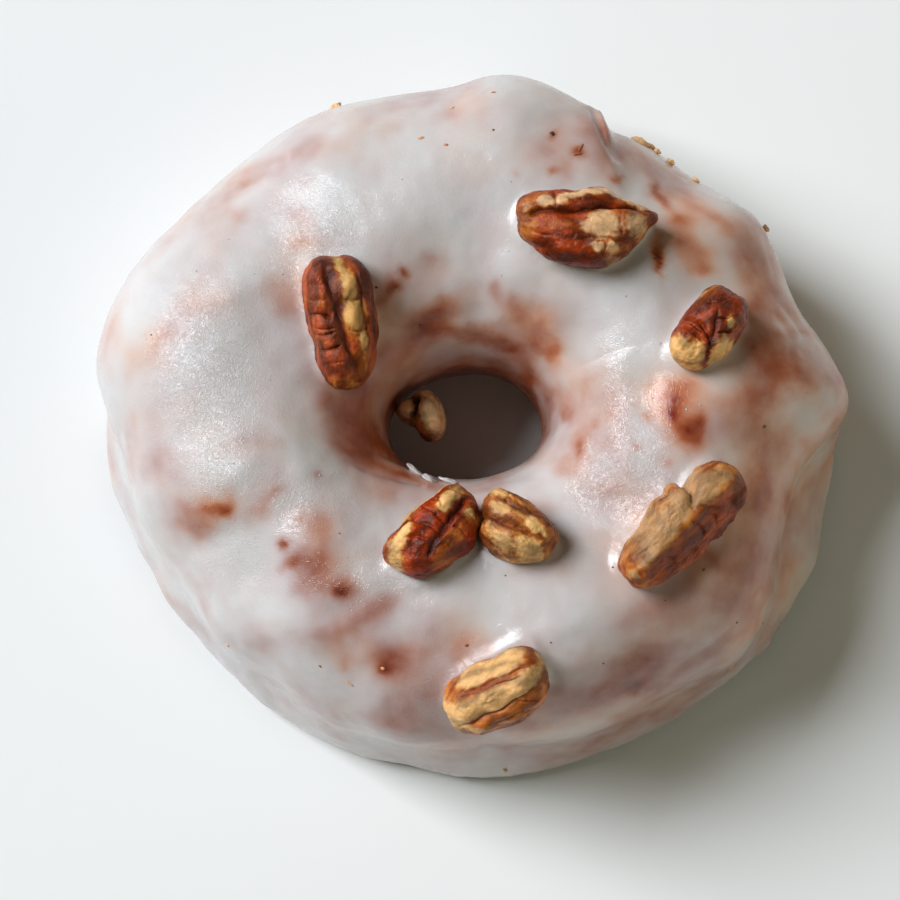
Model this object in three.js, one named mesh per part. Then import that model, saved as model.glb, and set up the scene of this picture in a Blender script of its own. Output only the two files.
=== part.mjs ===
// A glazed gluten-free ring doughnut with eight pieces of pecan, in millimetres, +Z up.
// The origin is under the middle of the outline, on the surface that the doughnut rests on.
// The dough ring and its glaze are one form worked out at two depths, and each nut's underside follows it.

import * as THREE from 'three';

// Driving dimensions

const gap = 0.3; // left between pieces that touch
const glazeThickness = 1.1;

// The ring: the hole's axis and half widths, the body's radius, and heights of its widest place and crest.
const ring = {
  holeX: -0.8,
  holeY: -1.0,
  radius: 43,
  holeWide: 9.6,
  holeDeep: 7.3,
  widest: 14.5,
  crest: 33.5,
  underside: 3, // how far the round section would reach below the floor, which cuts it flat
  squareTop: 2.15, // powers of the section's superellipse, above and below the widest place
  squareBase: 2.7,
};
const holeEdge = 4.5; // height where the glaze ends inside the hole

// Swellings of the body's outline: direction and spread in degrees, and how far each stands out.
const outlineSwells = [
  [3, 6, 6.3],
  [12, 5, 2.2],
  [32, 9, 3.6],
  [62, 10, 1.5],
  [70, 6, -1.3],
  [83, 6, 2.8],
  [112, 16, 2.5],
  [142, 13, 2.7],
  [158, 8, 3.8],
  [172, 8, 4.7],
  [190, 9, 1.2],
  [225, 15, -0.5],
  [265, 14, -0.8],
  [319, 8, 3.4],
  [333, 6, 1.0],
];

// The foot, where the glaze pooled round the base: its radius, the height where it begins to spread, the
// height of its lip, how sharply it spreads, and how thick and how undercut the lip is.
const foot = { radius: 43.9, start: 9.5, lip: 2.1, curve: 1.7, blunt: 0.9, undercut: 0.25 };
const footSwells = [
  [357, 6, 3.2],
  [341, 4, 1.3],
  [332, 17, 4.5],
  [325, 1.6, 0.7],
  [284, 12, 1.4],
  [270, 7, 0.4],
  [234, 12, 0.7],
  [206, 12, 0.4],
  [183, 13, 4.1],
];

// Swellings and hollows of the top, seen from above: place, spread and rise.
const topSwells = [
  [-35.3, 1.4, 8, 1.2],
  [-2.3, 32.4, 11, 0.8],
  [-24.3, 23.4, 4.5, -1.1],
  [-19.3, 21.4, 2.2, 0.7],
  [30.7, -4.6, 9, 0.4],
  [-20.3, -15.6, 4, 1.0],
  [-31.3, -20.6, 4.5, -1.2],
  [-33.3, -10.6, 3.5, 0.8],
  [5.7, -29.6, 8, 0.5],
  [36.7, 12.4, 5, 0.4],
  [27.7, 28.4, 4.5, -0.7],
  [35.7, 23.4, 4, 0.6],
  [23.7, -27.6, 8, 0.4],
];

// The lap where one side of the dough stands above the other: its line from the outline in towards the
// hole, its rise, and how wide its rounded side and its steep side are.
const lap = { outerX: 13.9, outerY: 43.4, innerX: 17.7, innerY: 27.4, rise: 2.4, shoulder: 9, drop: 1.1 };

// Broad waves over the whole skin: waves across x, y and z, phase and height.
const skinWaves = [
  [0.23, 0.12, 0.05, 0.9, 0.3],
  [-0.15, 0.27, 0.11, 2.1, 0.26],
  [0.36, -0.22, 0.17, 4.0, 0.15],
];

// Where each feature fades in or out: the relief by the sine of the section angle, the lap by the share
// of its line at either end, and a nut's grooves by the sine of the nut's section angle.
const fades = { relief: [0, 0.45], lapStart: [-0.35, 0.35], lapEnd: [1.25, 0.55], groove: [0.1, 0.7] };

// The pecans. length, width and height are half sizes, yaw is the long axis from +X, roll turns about it,
// lift raises the middle above the glaze, taper widens the far end, square and section are the powers of the
// outline's and the section's superellipses. lobes are swellings of the outline: direction and spread in
// degrees from the long axis, and rise. grooves run along the nut: side offset, slope, depth and half width.
const pecans = [
  {
    name: 'pecan_1',
    x: -16.6, y: 9.3, lift: 2.3, yaw: 98, roll: 0,
    length: 8.3, width: 4.4, height: 4.2, taper: 0.2, square: 2.8, section: 2.4,
    lobes: [[20, 10, 0.6], [90, 12, -0.2], [125, 14, -0.7], [200, 12, 0.3], [310, 16, -0.5]],
    grooves: [[-0.5, 0.1, 1.2, 0.9]],
    color: 0x9a4d25,
  },
  {
    name: 'pecan_2',
    x: 13.4, y: 21.2, lift: 2.4, yaw: -2, roll: 0,
    length: 8.2, width: 5.0, height: 4.3, taper: -0.05, square: 2.2, section: 2.2,
    lobes: [
      [11, 6, 1.4], [35, 10, -0.8], [110, 18, -0.8], [160, 10, 0.8],
      [205, 10, -0.6], [290, 14, 0.6], [340, 10, -0.8],
    ],
    grooves: [[2.2, 0.04, 1.4, 0.8]],
    color: 0xa85a2a,
  },
  {
    name: 'pecan_3',
    x: 28.9, y: 8.3, lift: 2.1, yaw: 49, roll: 0,
    length: 5.7, width: 3.7, height: 3.9, taper: 0, square: 2.3, section: 2.2,
    lobes: [[30, 16, 0.6], [90, 14, -0.3], [125, 12, -0.4], [215, 16, -0.1], [340, 12, 0.3]],
    grooves: [[-0.5, 0.15, 1.3, 0.8]],
    color: 0x8e3f18,
  },
  {
    name: 'pecan_4',
    x: 25.4, y: -16.4, lift: 2.6, yaw: 45, roll: 14,
    length: 9.6, width: 4.0, height: 4.4, taper: 0.1, square: 2.8, section: 2.8,
    lobes: [[40, 7, -1.8], [62, 8, 0.6], [92, 12, 0.5], [140, 10, -0.5], [262, 12, 0.2], [298, 8, 0.3]],
    grooves: [[-1.6, 0.05, -0.6, 0.9]],
    color: 0xa8713c,
  },
  {
    name: 'pecan_5',
    x: 2.5, y: -36.7, lift: 2.3, yaw: 35, roll: 0,
    length: 6.9, width: 4.2, height: 4.1, taper: 0, square: 2.7, section: 2.4,
    lobes: [[30, 14, 1.2], [150, 14, -0.4], [330, 12, -0.3]],
    grooves: [[1.0, 0, 0.9, 0.7], [-2.1, 0.04, 0.8, 0.6]],
    color: 0xc09350,
  },
  {
    name: 'pecan_6',
    x: -4.8, y: -17.3, lift: 2.4, yaw: 45, roll: 0,
    length: 6.6, width: 4.0, height: 4.2, taper: 0, square: 2.4, section: 2.2,
    lobes: [[30, 14, 1.3], [135, 12, -0.5], [163, 9, 0.9], [334, 12, -0.4]],
    grooves: [[0, 0.08, 1.5, 0.9]],
    color: 0xa0502a,
  },
  {
    name: 'pecan_7',
    x: 4.6, y: -16.6, lift: 2.1, yaw: -41, roll: 0,
    length: 5.4, width: 3.8, height: 3.8, taper: 0, square: 2.3, section: 2.2,
    lobes: [[30, 14, 0.6], [145, 12, 0.6], [202, 14, -1.4], [330, 14, -0.4]],
    grooves: [[0.4, 0.05, 1.1, 0.8]],
    color: 0xb98650,
  },
  {
    name: 'pecan_8', // wedged upright in the hole against its wall, so it has its own height
    x: -5.9, y: 0.3, z: 15.5, yaw: 105, roll: 0,
    length: 3.2, width: 2.0, height: 6, taper: 0, square: 2.2, section: 2.4,
    lobes: [[64, 18, 2.1]],
    grooves: [[1.0, 0, 0.8, 0.6]],
    color: 0x8a4a22,
  },
];

// Small lumps of a nut's surface: waves along and across, phase and height.
const nutWaves = [
  [1.5, 0.7, 0.4, 0.16],
  [-0.9, 1.7, 2.3, 0.14],
];
const slopeReach = 2.5; // how far to each side of a nut's middle the glaze's slope is felt

// How finely the surfaces are split
const turnSteps = 92;
const outerSteps = 18;
const innerSteps = 12;
const baseSteps = 4;
const nutTurnSteps = 28;
const nutSectionSteps = 9;
const halvings = 30; // of the section angle's range, to find the height at a place

// Form of the ring

const radians = (degrees) => (degrees * Math.PI) / 180;
const bell = (distance) => Math.exp(-0.5 * distance * distance);
const signedPower = (value, power) => Math.sign(value) * Math.abs(value) ** power;

function smooth(from, to, value) {
  const t = Math.min(Math.max((value - from) / (to - from), 0), 1);
  return t * t * (3 - 2 * t);
}

// A radius with its swellings added, each a bell curve over the angle from its own direction.
function swollen(radius, swells, turn) {
  let sum = radius;
  for (const [direction, spread, out] of swells) {
    const away = (((turn * 180) / Math.PI - direction + 540) % 360) - 180;
    sum += out * bell(away / spread);
  }
  return sum;
}

function holeRadius(turn) {
  return 1 / Math.hypot(Math.cos(turn) / ring.holeWide, Math.sin(turn) / ring.holeDeep);
}

// How far the lap raises a place: along runs down its line, across is the distance to its rounded side.
function lapRise(x, y) {
  const lineX = lap.innerX - lap.outerX;
  const lineY = lap.innerY - lap.outerY;
  const length = Math.hypot(lineX, lineY);
  const along = ((x - lap.outerX) * lineX + (y - lap.outerY) * lineY) / length ** 2;
  const across = ((x - lap.outerX) * lineY - (y - lap.outerY) * lineX) / length;
  const reach = smooth(...fades.lapStart, along) * smooth(...fades.lapEnd, along);
  return lap.rise * reach * Math.exp(-((across / (across > 0 ? lap.shoulder : lap.drop)) ** 2));
}

// How far the skin stands out at a place: swellings of the top and the lap, then the broad waves.
function relief(x, y, z, topShare) {
  let rise = lapRise(x, y) * topShare;
  for (const [swellX, swellY, spread, height] of topSwells) {
    rise += height * bell(Math.hypot(x - swellX, y - swellY) / spread) * topShare;
  }
  for (const [acrossX, acrossY, acrossZ, phase, height] of skinWaves) {
    rise += height * Math.sin(acrossX * x + acrossY * y + acrossZ * z + phase);
  }
  return rise;
}

// The section angle where the body's underside passes a height, measured down from the widest place.
function sectionBelow(height) {
  const drop = (ring.widest - height) / (ring.widest + ring.underside);
  return Math.asin(drop ** (ring.squareBase / 2));
}

// A point of the skin. turn goes round the hole, section goes from the outer side (0) over the crest
// to the hole's side (pi), inset is the depth under the skin, footed adds the glaze's foot.
function skinPoint(turn, section, inset, footed) {
  const outer = swollen(ring.radius, outlineSwells, turn);
  const middle = (outer + holeRadius(turn)) / 2;
  const half = (outer - holeRadius(turn)) / 2;
  const c = Math.cos(section);
  const s = Math.sin(section);
  const power = 2 / (s > 0 ? ring.squareTop : ring.squareBase);
  const reach = s > 0 ? ring.crest - ring.widest : ring.widest + ring.underside;
  let rho = middle + half * signedPower(c, power);
  let z = ring.widest + reach * signedPower(s, power);
  const x = ring.holeX + rho * Math.cos(turn);
  const y = ring.holeY + rho * Math.sin(turn);
  const out = relief(x, y, z, smooth(...fades.relief, s)) - inset;
  if (footed && c > 0) {
    const edge = Math.cos(sectionBelow(foot.lip)) ** (2 / ring.squareBase);
    const lip = Math.max(swollen(foot.radius, footSwells, turn) - middle - half * edge, 0);
    const low = Math.min(Math.max((foot.start - z) / (foot.start - foot.lip), 0), 1);
    rho += lip * low ** foot.curve;
  }
  rho += out * c;
  z += out * s;
  return [ring.holeX + rho * Math.cos(turn), ring.holeY + rho * Math.sin(turn), Math.max(z, 0)];
}

// The height of the glaze's top at a place, found by halving the section angle's range.
function topHeight(x, y) {
  const turn = Math.atan2(y - ring.holeY, x - ring.holeX);
  const rho = Math.hypot(x - ring.holeX, y - ring.holeY);
  let low = 0;
  let high = Math.PI;
  let point = [x, y, 0];
  for (let i = 0; i < halvings; i += 1) {
    const middle = (low + high) / 2;
    point = skinPoint(turn, middle, 0, false);
    if (Math.hypot(point[0] - ring.holeX, point[1] - ring.holeY) > rho) low = middle;
    else high = middle;
  }
  return point[2];
}

// Surfaces

// A closed skin from rows of points: each row goes round, and the rows join up again after the last.
// From the row mirroredFrom on, the quads are split on their other diagonal, so that an inner skin whose
// rows run backwards has the same facets as the surface that it lies on.
function wrappedGeometry(rows, mirroredFrom = rows.length) {
  const columns = rows[0].length;
  const indices = [];
  for (let row = 0; row < rows.length; row += 1) {
    const next = (row + 1) % rows.length;
    for (let column = 0; column < columns; column += 1) {
      const beside = (column + 1) % columns;
      const a = row * columns + column;
      const b = row * columns + beside;
      const c = next * columns + column;
      const d = next * columns + beside;
      if (row < mirroredFrom) indices.push(a, b, d, a, d, c);
      else indices.push(a, b, c, b, d, c);
    }
  }
  const geometry = new THREE.BufferGeometry();
  geometry.setAttribute('position', new THREE.Float32BufferAttribute(rows.flat(2), 3));
  geometry.setIndex(indices);
  return geometry;
}

// Rows of the skin from one section angle to another, each once round the hole.
function skinRows(from, to, steps, inset, footed) {
  const rows = [];
  for (let step = 0; step <= steps; step += 1) {
    const section = steps > 0 ? from + ((to - from) * step) / steps : from;
    const row = [];
    for (let turnStep = 0; turnStep < turnSteps; turnStep += 1) {
      row.push(skinPoint((2 * Math.PI * turnStep) / turnSteps, section, inset, footed));
    }
    rows.push(row);
  }
  return rows;
}

const outerEnd = -sectionBelow(foot.lip + foot.blunt); // the lip's upper edge
const lipEnd = -sectionBelow(foot.lip);
const holeEnd = Math.PI + sectionBelow(holeEdge);

// The dough's skin lies under the glaze from the lip to the end inside the hole, then goes round the base.
function doughGeometry() {
  const inset = glazeThickness + gap;
  const over = skinRows(lipEnd, holeEnd, innerSteps, inset, false);
  const under = skinRows(holeEnd, 2 * Math.PI + lipEnd, baseSteps + 1, inset, false);
  return wrappedGeometry([...over, ...under.slice(1, -1)]);
}

// The glaze's skin goes up from the lip's lower edge, over the top and down the hole, then back underneath.
function glazeGeometry() {
  const lip = skinRows(lipEnd, lipEnd, 0, foot.undercut, true);
  const outer = skinRows(outerEnd, holeEnd, outerSteps, 0, true);
  const inner = skinRows(lipEnd, holeEnd, innerSteps, glazeThickness, false).reverse();
  return wrappedGeometry([...lip, ...outer, ...inner], lip.length + outer.length);
}

// Nuts

// A point of a nut in its own frame: a lobed outline filled out to a rounded body, grooved along its top.
// turn goes round the outline from the long axis, section from the bottom (-pi / 2) to the top (pi / 2).
function nutPoint(nut, turn, section) {
  const c = Math.cos(section);
  const s = Math.sin(section);
  const along = Math.abs(Math.cos(turn) / nut.length) ** nut.square;
  const across = Math.abs(Math.sin(turn) / nut.width) ** nut.square;
  const outline = swollen((along + across) ** (-1 / nut.square), nut.lobes, turn);
  const radius = outline * c ** (2 / nut.section);
  const u = radius * Math.cos(turn);
  const v = radius * Math.sin(turn) * (1 + (nut.taper * u) / nut.length);
  let w = nut.height * signedPower(s, 2 / nut.section);
  for (const [side, slope, depth, wide] of nut.grooves) {
    w -= depth * bell((v - side - slope * u) / wide) * smooth(...fades.groove, s);
  }
  for (const [acrossU, acrossV, phase, height] of nutWaves) {
    w += height * Math.sin(acrossU * u + acrossV * v + phase) * s;
  }
  return new THREE.Vector3(u, v, w);
}

// A nut's surface, closed by a point below and above. matrix places it, and what would sink into the
// glaze is raised on to it, so that the nut's underside follows the glaze.
function nutGeometry(nut, matrix) {
  const inverse = matrix.clone().invert();
  const seated = (turn, section) => {
    const point = nutPoint(nut, turn, section).applyMatrix4(matrix);
    if (nut.z === undefined && section < 0) point.z = Math.max(point.z, topHeight(point.x, point.y) + gap);
    return point.applyMatrix4(inverse).toArray();
  };
  const positions = [...seated(0, -Math.PI / 2)];
  for (let row = 1; row < nutSectionSteps; row += 1) {
    const section = Math.PI * (row / nutSectionSteps - 0.5);
    for (let step = 0; step < nutTurnSteps; step += 1) {
      positions.push(...seated((2 * Math.PI * step) / nutTurnSteps, section));
    }
  }
  positions.push(...seated(0, Math.PI / 2));
  const indices = [];
  const last = positions.length / 3 - 1;
  for (let step = 0; step < nutTurnSteps; step += 1) {
    const beside = (step + 1) % nutTurnSteps;
    indices.push(0, 1 + beside, 1 + step);
    for (let row = 0; row < nutSectionSteps - 2; row += 1) {
      const low = 1 + row * nutTurnSteps;
      const high = low + nutTurnSteps;
      indices.push(low + step, low + beside, high + beside, low + step, high + beside, high + step);
    }
    indices.push(last, last - nutTurnSteps + step, last - nutTurnSteps + beside);
  }
  const geometry = new THREE.BufferGeometry();
  geometry.setAttribute('position', new THREE.Float32BufferAttribute(positions, 3));
  geometry.setIndex(indices);
  return geometry;
}

// A nut's place: it lies square to the glaze under it, unless its own height is given and it stands upright.
function nutMatrix(nut) {
  const up = new THREE.Vector3(0, 0, 1);
  const middle = new THREE.Vector3(nut.x, nut.y, nut.z);
  if (nut.z === undefined) {
    const right = topHeight(nut.x + slopeReach, nut.y);
    const left = topHeight(nut.x - slopeReach, nut.y);
    const back = topHeight(nut.x, nut.y + slopeReach);
    const front = topHeight(nut.x, nut.y - slopeReach);
    up.set(left - right, front - back, 2 * slopeReach).normalize();
    middle.z = topHeight(nut.x, nut.y) + nut.lift;
  }
  const long = new THREE.Vector3(Math.cos(radians(nut.yaw)), Math.sin(radians(nut.yaw)), 0);
  const side = new THREE.Vector3().crossVectors(up, long).normalize();
  long.crossVectors(side, up);
  const rolled = new THREE.Matrix4().makeRotationX(radians(nut.roll));
  return new THREE.Matrix4().makeBasis(long, side, up).multiply(rolled).setPosition(middle);
}

// The object

function doughRing() {
  const material = new THREE.MeshStandardMaterial({ color: 0xb5703a, roughness: 0.75, metalness: 0 });
  const mesh = new THREE.Mesh(doughGeometry(), material);
  mesh.name = 'dough_ring';
  return mesh;
}

function glaze() {
  const material = new THREE.MeshStandardMaterial({ color: 0xd9cfcd, roughness: 0.3, metalness: 0 });
  const mesh = new THREE.Mesh(glazeGeometry(), material);
  mesh.name = 'glaze';
  return mesh;
}

function nutPieces() {
  const group = new THREE.Group();
  for (const nut of pecans) {
    const matrix = nutMatrix(nut);
    const material = new THREE.MeshStandardMaterial({ color: nut.color, roughness: 0.55, metalness: 0 });
    const mesh = new THREE.Mesh(nutGeometry(nut, matrix), material);
    mesh.name = nut.name;
    mesh.applyMatrix4(matrix);
    group.add(mesh);
  }
  return group;
}

const doughnut = new THREE.Group();
doughnut.add(doughRing(), glaze(), nutPieces());

export default doughnut;
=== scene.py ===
# A glazed gluten-free ring doughnut with eight pieces of pecan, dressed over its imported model.
# Shapes are worked out in millimetres and go into the meshes in metres.

import math

import bpy
import numpy as np
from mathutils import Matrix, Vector


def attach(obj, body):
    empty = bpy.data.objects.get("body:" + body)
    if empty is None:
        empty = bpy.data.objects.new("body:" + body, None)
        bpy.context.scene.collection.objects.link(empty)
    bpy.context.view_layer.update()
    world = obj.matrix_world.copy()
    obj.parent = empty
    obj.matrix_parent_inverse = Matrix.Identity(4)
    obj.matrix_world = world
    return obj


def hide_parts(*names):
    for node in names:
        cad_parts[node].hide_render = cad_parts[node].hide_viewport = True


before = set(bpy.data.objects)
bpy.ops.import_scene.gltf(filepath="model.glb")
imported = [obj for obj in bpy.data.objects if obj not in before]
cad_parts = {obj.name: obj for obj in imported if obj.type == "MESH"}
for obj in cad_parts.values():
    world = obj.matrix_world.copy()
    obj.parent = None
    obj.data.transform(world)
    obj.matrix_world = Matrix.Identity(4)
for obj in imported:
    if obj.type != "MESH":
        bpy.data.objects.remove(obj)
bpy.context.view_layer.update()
print("frame loaded:", len(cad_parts), "solids")

mm = 0.001


# Helpers for shapes

def bell(distance):  # a bell curve over whole arrays: 1 in the middle, 0.61 one spread away
    return np.exp(-0.5 * distance * distance)


def smooth(start, end, value):  # 0 before start and 1 after end, eased at both
    share = np.clip((value - start) / (end - start), 0, 1)
    return share * share * (3 - 2 * share)


def signedPower(value, power):  # the size raised to a power, with its sign kept
    return np.sign(value) * np.abs(value) ** power


def swollen(radius, swells, turn):  # a radius plus bell-shaped swellings over the angle from each direction
    total = np.full_like(turn, radius)
    for direction, spread, out in swells:
        away = (np.degrees(turn) - direction + 540) % 360 - 180
        total += out * bell(away / spread)
    return total


def makeNoise(seed, cells=256):
    # Gradient noise: slopes at the corners of a unit lattice, blended by the eased place in the cell, and
    # raised to reach about -1 and 1.
    draw = np.random.default_rng(seed)
    slopes = draw.normal(size=(cells, 3))
    slopes /= np.linalg.norm(slopes, axis=1, keepdims=True)
    order = np.tile(draw.permutation(cells), 2)

    def noise(points):
        cell = np.floor(points).astype(int)
        inside = points - cell
        share = inside ** 3 * (inside * (inside * 6 - 15) + 10)
        total = np.zeros(points.shape[:-1])
        for corner in range(8):
            step = np.array([corner & 1, corner >> 1 & 1, corner >> 2 & 1])
            at = (cell + step) % cells
            slope = slopes[order[order[order[at[..., 0]] + at[..., 1]] + at[..., 2]]]
            weight = np.prod(np.where(step, share, 1 - share), axis=-1)
            total += weight * np.sum(slope * (inside - step), axis=-1)
        return total * 1.6

    return noise


def cloudy(noise, points, size, octaves=4):  # noise summed over octaves, each half as large and half as high
    apart = 17.3  # keeps the octaves from lining up
    total = np.zeros(points.shape[:-1])
    for octave in range(octaves):
        total += noise(points * 2 ** octave / size + apart * octave) / 2 ** octave
    return total


def roundAngles(count):  # angles once round, without the last, which is the first again
    return 2 * np.pi * np.arange(count) / count


def softPath(path, steps=6):  # the smooth curve through a path's points (Catmull-Rom)
    points = np.array(path, float)
    ends = np.concatenate([[2 * points[0] - points[1]], points, [2 * points[-1] - points[-2]]])
    t = (np.arange(steps) / steps)[:, None]
    parts = []
    for a, b, c, d in zip(ends[:-3], ends[1:-2], ends[2:-1], ends[3:]):
        parts.append(b + 0.5 * t * (c - a + t * (2 * a - 5 * b + 4 * c - d + t * (3 * (b - c) + d - a))))
    return np.concatenate(parts + [points[-1:]])


def pathDistance(x, y, path):
    # How far each place is from a path, and its share of the way along at the nearest point.
    curve = softPath(path)
    nearest = np.full(x.shape, 1e6)
    share = np.zeros(x.shape)
    for step in range(len(curve) - 1):
        line = curve[step + 1] - curve[step]
        fromX = x - curve[step, 0]
        fromY = y - curve[step, 1]
        along = np.clip((fromX * line[0] + fromY * line[1]) / (line @ line), 0, 1)
        away = np.hypot(fromX - along * line[0], fromY - along * line[1])
        share = np.where(away < nearest, (step + along) / (len(curve) - 1), share)
        nearest = np.minimum(away, nearest)
    return nearest, share


def spot(x, y, place):  # an oval bell: middle x and y, half sizes along and across, turn in degrees
    middleX, middleY, along, across, turn = place[:5]
    c = math.cos(math.radians(turn))
    s = math.sin(math.radians(turn))
    u = ((x - middleX) * c + (y - middleY) * s) / along
    v = ((y - middleY) * c - (x - middleX) * s) / across
    return np.exp(-0.7 * (u * u + v * v))


# Helpers for meshes

def gridNormals(points, wrapRows):  # outward directions of a grid from the differences between its neighbours
    if wrapRows:
        down = np.roll(points, -1, axis=0) - np.roll(points, 1, axis=0)
    else:
        down = np.gradient(points, axis=0)
    across = np.roll(points, -1, axis=1) - np.roll(points, 1, axis=1)
    normals = np.cross(across, down)
    return normals / np.maximum(np.linalg.norm(normals, axis=-1, keepdims=True), 1e-9)


def gridQuads(rows, columns, wrapRows):  # quads of a grid whose columns join up, and whose rows may
    row = np.arange(rows if wrapRows else rows - 1)[:, None]
    column = np.arange(columns)[None, :]
    low = row * columns
    high = (row + 1) % rows * columns
    beside = (column + 1) % columns
    corners = [low + column, low + beside, high + beside, high + column]
    return np.stack(corners, axis=-1).reshape(-1, 4)


def poleTriangles(rows, columns):  # fans that close a grid at a point below its first row and above its last
    column = np.arange(columns)
    beside = (column + 1) % columns
    last = (rows - 1) * columns
    bottom = np.stack([np.full(columns, rows * columns), beside, column], axis=-1)
    top = np.stack([np.full(columns, rows * columns + 1), last + column, last + beside], axis=-1)
    return np.concatenate([bottom, top])


def placeObject(name, data):
    thing = bpy.data.objects.new(name, data)
    bpy.context.scene.collection.objects.link(thing)
    return thing


def makePiece(name, points, quads, triangles, attributes, material):
    # Fills a mesh from arrays, with one float attribute for each named array, and puts it on body root.
    mesh = bpy.data.meshes.new(name)
    corners = np.concatenate([quads.ravel(), triangles.ravel()]).astype(np.int32)
    starts = np.concatenate([np.arange(len(quads)) * 4, len(quads) * 4 + np.arange(len(triangles)) * 3])
    mesh.vertices.add(len(points))
    mesh.vertices.foreach_set("co", (points * mm).astype(np.float32).ravel())
    mesh.loops.add(len(corners))
    mesh.loops.foreach_set("vertex_index", corners)
    mesh.polygons.add(len(starts))
    mesh.polygons.foreach_set("loop_start", starts.astype(np.int32))
    mesh.polygons.foreach_set("use_smooth", np.ones(len(starts), bool))
    mesh.update(calc_edges=True)
    for key, values in attributes.items():
        layer = mesh.attributes.new(key, "FLOAT", "POINT")
        layer.data.foreach_set("value", values.astype(np.float32).ravel())
    mesh.materials.append(material)
    piece = placeObject(name, mesh)
    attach(piece, "root")
    return piece


def makeRingPiece(name, points, attributes, material):  # a grid that joins up round the ring and across it
    quads = gridQuads(*points.shape[:2], True)
    return makePiece(name, points.reshape(-1, 3), quads, np.zeros((0, 3), int), attributes, material)


def blobGrid(rows, columns):  # directions of a ball's rows, from below to above, then of its two poles
    rise = np.pi * (np.arange(1, rows + 1) / (rows + 1) - 0.5)[:, None]
    turn = roundAngles(columns)[None, :]
    ball = [np.cos(rise) * np.cos(turn), np.cos(rise) * np.sin(turn), np.sin(rise) + 0 * turn]
    points = np.stack(ball, axis=-1).reshape(-1, 3)
    return np.concatenate([points, [[0, 0, -1], [0, 0, 1]]])


def makeBlobs(name, middles, axes, tints, material, rows, columns, rough, seed):
    # Many small lumps in one mesh. Each is a ball round its middle, stretched along its own three axes and
    # pushed in and out by noise, and carries its tint.
    ball = blobGrid(rows, columns)
    noise = makeNoise(seed)
    count = np.arange(len(middles))[:, None, None]
    bumps = 1 + rough * noise(ball[None] * 1.3 + count * 3.7)  # each lump reads the noise in its own place
    points = middles[:, None] + np.einsum("pk,nkc->npc", ball, axes) * bumps[..., None]
    quads = (gridQuads(rows, columns, False)[None] + count * len(ball)).reshape(-1, 4)
    triangles = (poleTriangles(rows, columns)[None] + count * len(ball)).reshape(-1, 3)
    attributes = {"tint": np.repeat(tints, len(ball))}
    return makePiece(name, points.reshape(-1, 3), quads, triangles, attributes, material)


# Helpers for materials

def linear(red, green, blue):  # a colour given in the screen's 0 to 255
    share = np.array([red, green, blue]) / 255
    value = np.where(share <= 0.04045, share / 12.92, ((share + 0.055) / 1.055) ** 2.4)
    return (*value.tolist(), 1.0)


def newMaterial(name):
    material = bpy.data.materials.new(name)
    material.use_nodes = True
    tree = material.node_tree
    tree.nodes.clear()
    output = tree.nodes.new("ShaderNodeOutputMaterial")
    shader = tree.nodes.new("ShaderNodeBsdfPrincipled")
    tree.links.new(shader.outputs[0], output.inputs[0])
    return material, tree, shader


def setInput(tree, node, key, value):
    if isinstance(value, bpy.types.NodeSocket):
        tree.links.new(value, node.inputs[key])
    else:
        node.inputs[key].default_value = value


def setScatter(tree, shader, weight, reach, depth):  # light under the surface, its depth in millimetres
    setInput(tree, shader, "Subsurface Weight", weight)
    setInput(tree, shader, "Subsurface Radius", reach)
    setInput(tree, shader, "Subsurface Scale", depth * mm)


def addNode(tree, kind, settings, inputs):
    node = tree.nodes.new("ShaderNode" + kind)
    for key, value in settings.items():
        setattr(node, key, value)
    for key, value in inputs.items():
        setInput(tree, node, key, value)
    return node


def readAttribute(tree, name):
    return addNode(tree, "Attribute", {"attribute_name": name}, {}).outputs["Fac"]


def placeIn(tree, size, stretch=(1, 1, 1)):  # object coordinates counted in steps of a size in millimetres
    place = addNode(tree, "TexCoord", {}, {}).outputs["Object"]
    scale = Vector(stretch) / (size * mm)
    return addNode(tree, "Mapping", {}, {"Vector": place, "Scale": scale}).outputs[0]


def noiseOf(tree, size, detail=3.0, rough=0.5, distortion=0.0):
    inputs = {"Vector": placeIn(tree, size), "Scale": 1.0, "Detail": detail, "Roughness": rough}
    return addNode(tree, "TexNoise", {}, {**inputs, "Distortion": distortion}).outputs["Fac"]


def compute(tree, operation, a, b=0.0, c=0.0, clamp=False):
    return addNode(tree, "Math", {"operation": operation, "use_clamp": clamp}, {0: a, 1: b, 2: c}).outputs[0]


def between(tree, value, low, high, start=0.0, end=1.0):
    inputs = {"Value": value, "From Min": low, "From Max": high, "To Min": start, "To Max": end}
    return addNode(tree, "MapRange", {}, inputs).outputs[0]


def blend(tree, share, first, second, kind="MIX"):
    settings = {"data_type": "RGBA", "blend_type": kind, "clamp_factor": True}
    return addNode(tree, "Mix", settings, {"Factor": share, 6: first, 7: second}).outputs[2]


def colorRamp(tree, value, stops):
    node = addNode(tree, "ValToRGB", {}, {"Fac": value})
    ramp = node.color_ramp
    for position, color in stops[1:-1]:
        ramp.elements.new(position).color = linear(*color)
    for element, (position, color) in ((ramp.elements[0], stops[0]), (ramp.elements[-1], stops[-1])):
        element.position = position
        element.color = linear(*color)
    return node.outputs[0]


def bump(tree, height, distance, strength=1.0, normal=None):  # distance in millimetres
    node = addNode(tree, "Bump", {}, {"Height": height, "Distance": distance * mm, "Strength": strength})
    if normal is not None:
        tree.links.new(normal, node.inputs["Normal"])
    return node.outputs[0]


# The ring's form, shared by the glaze and the dough under it

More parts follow.
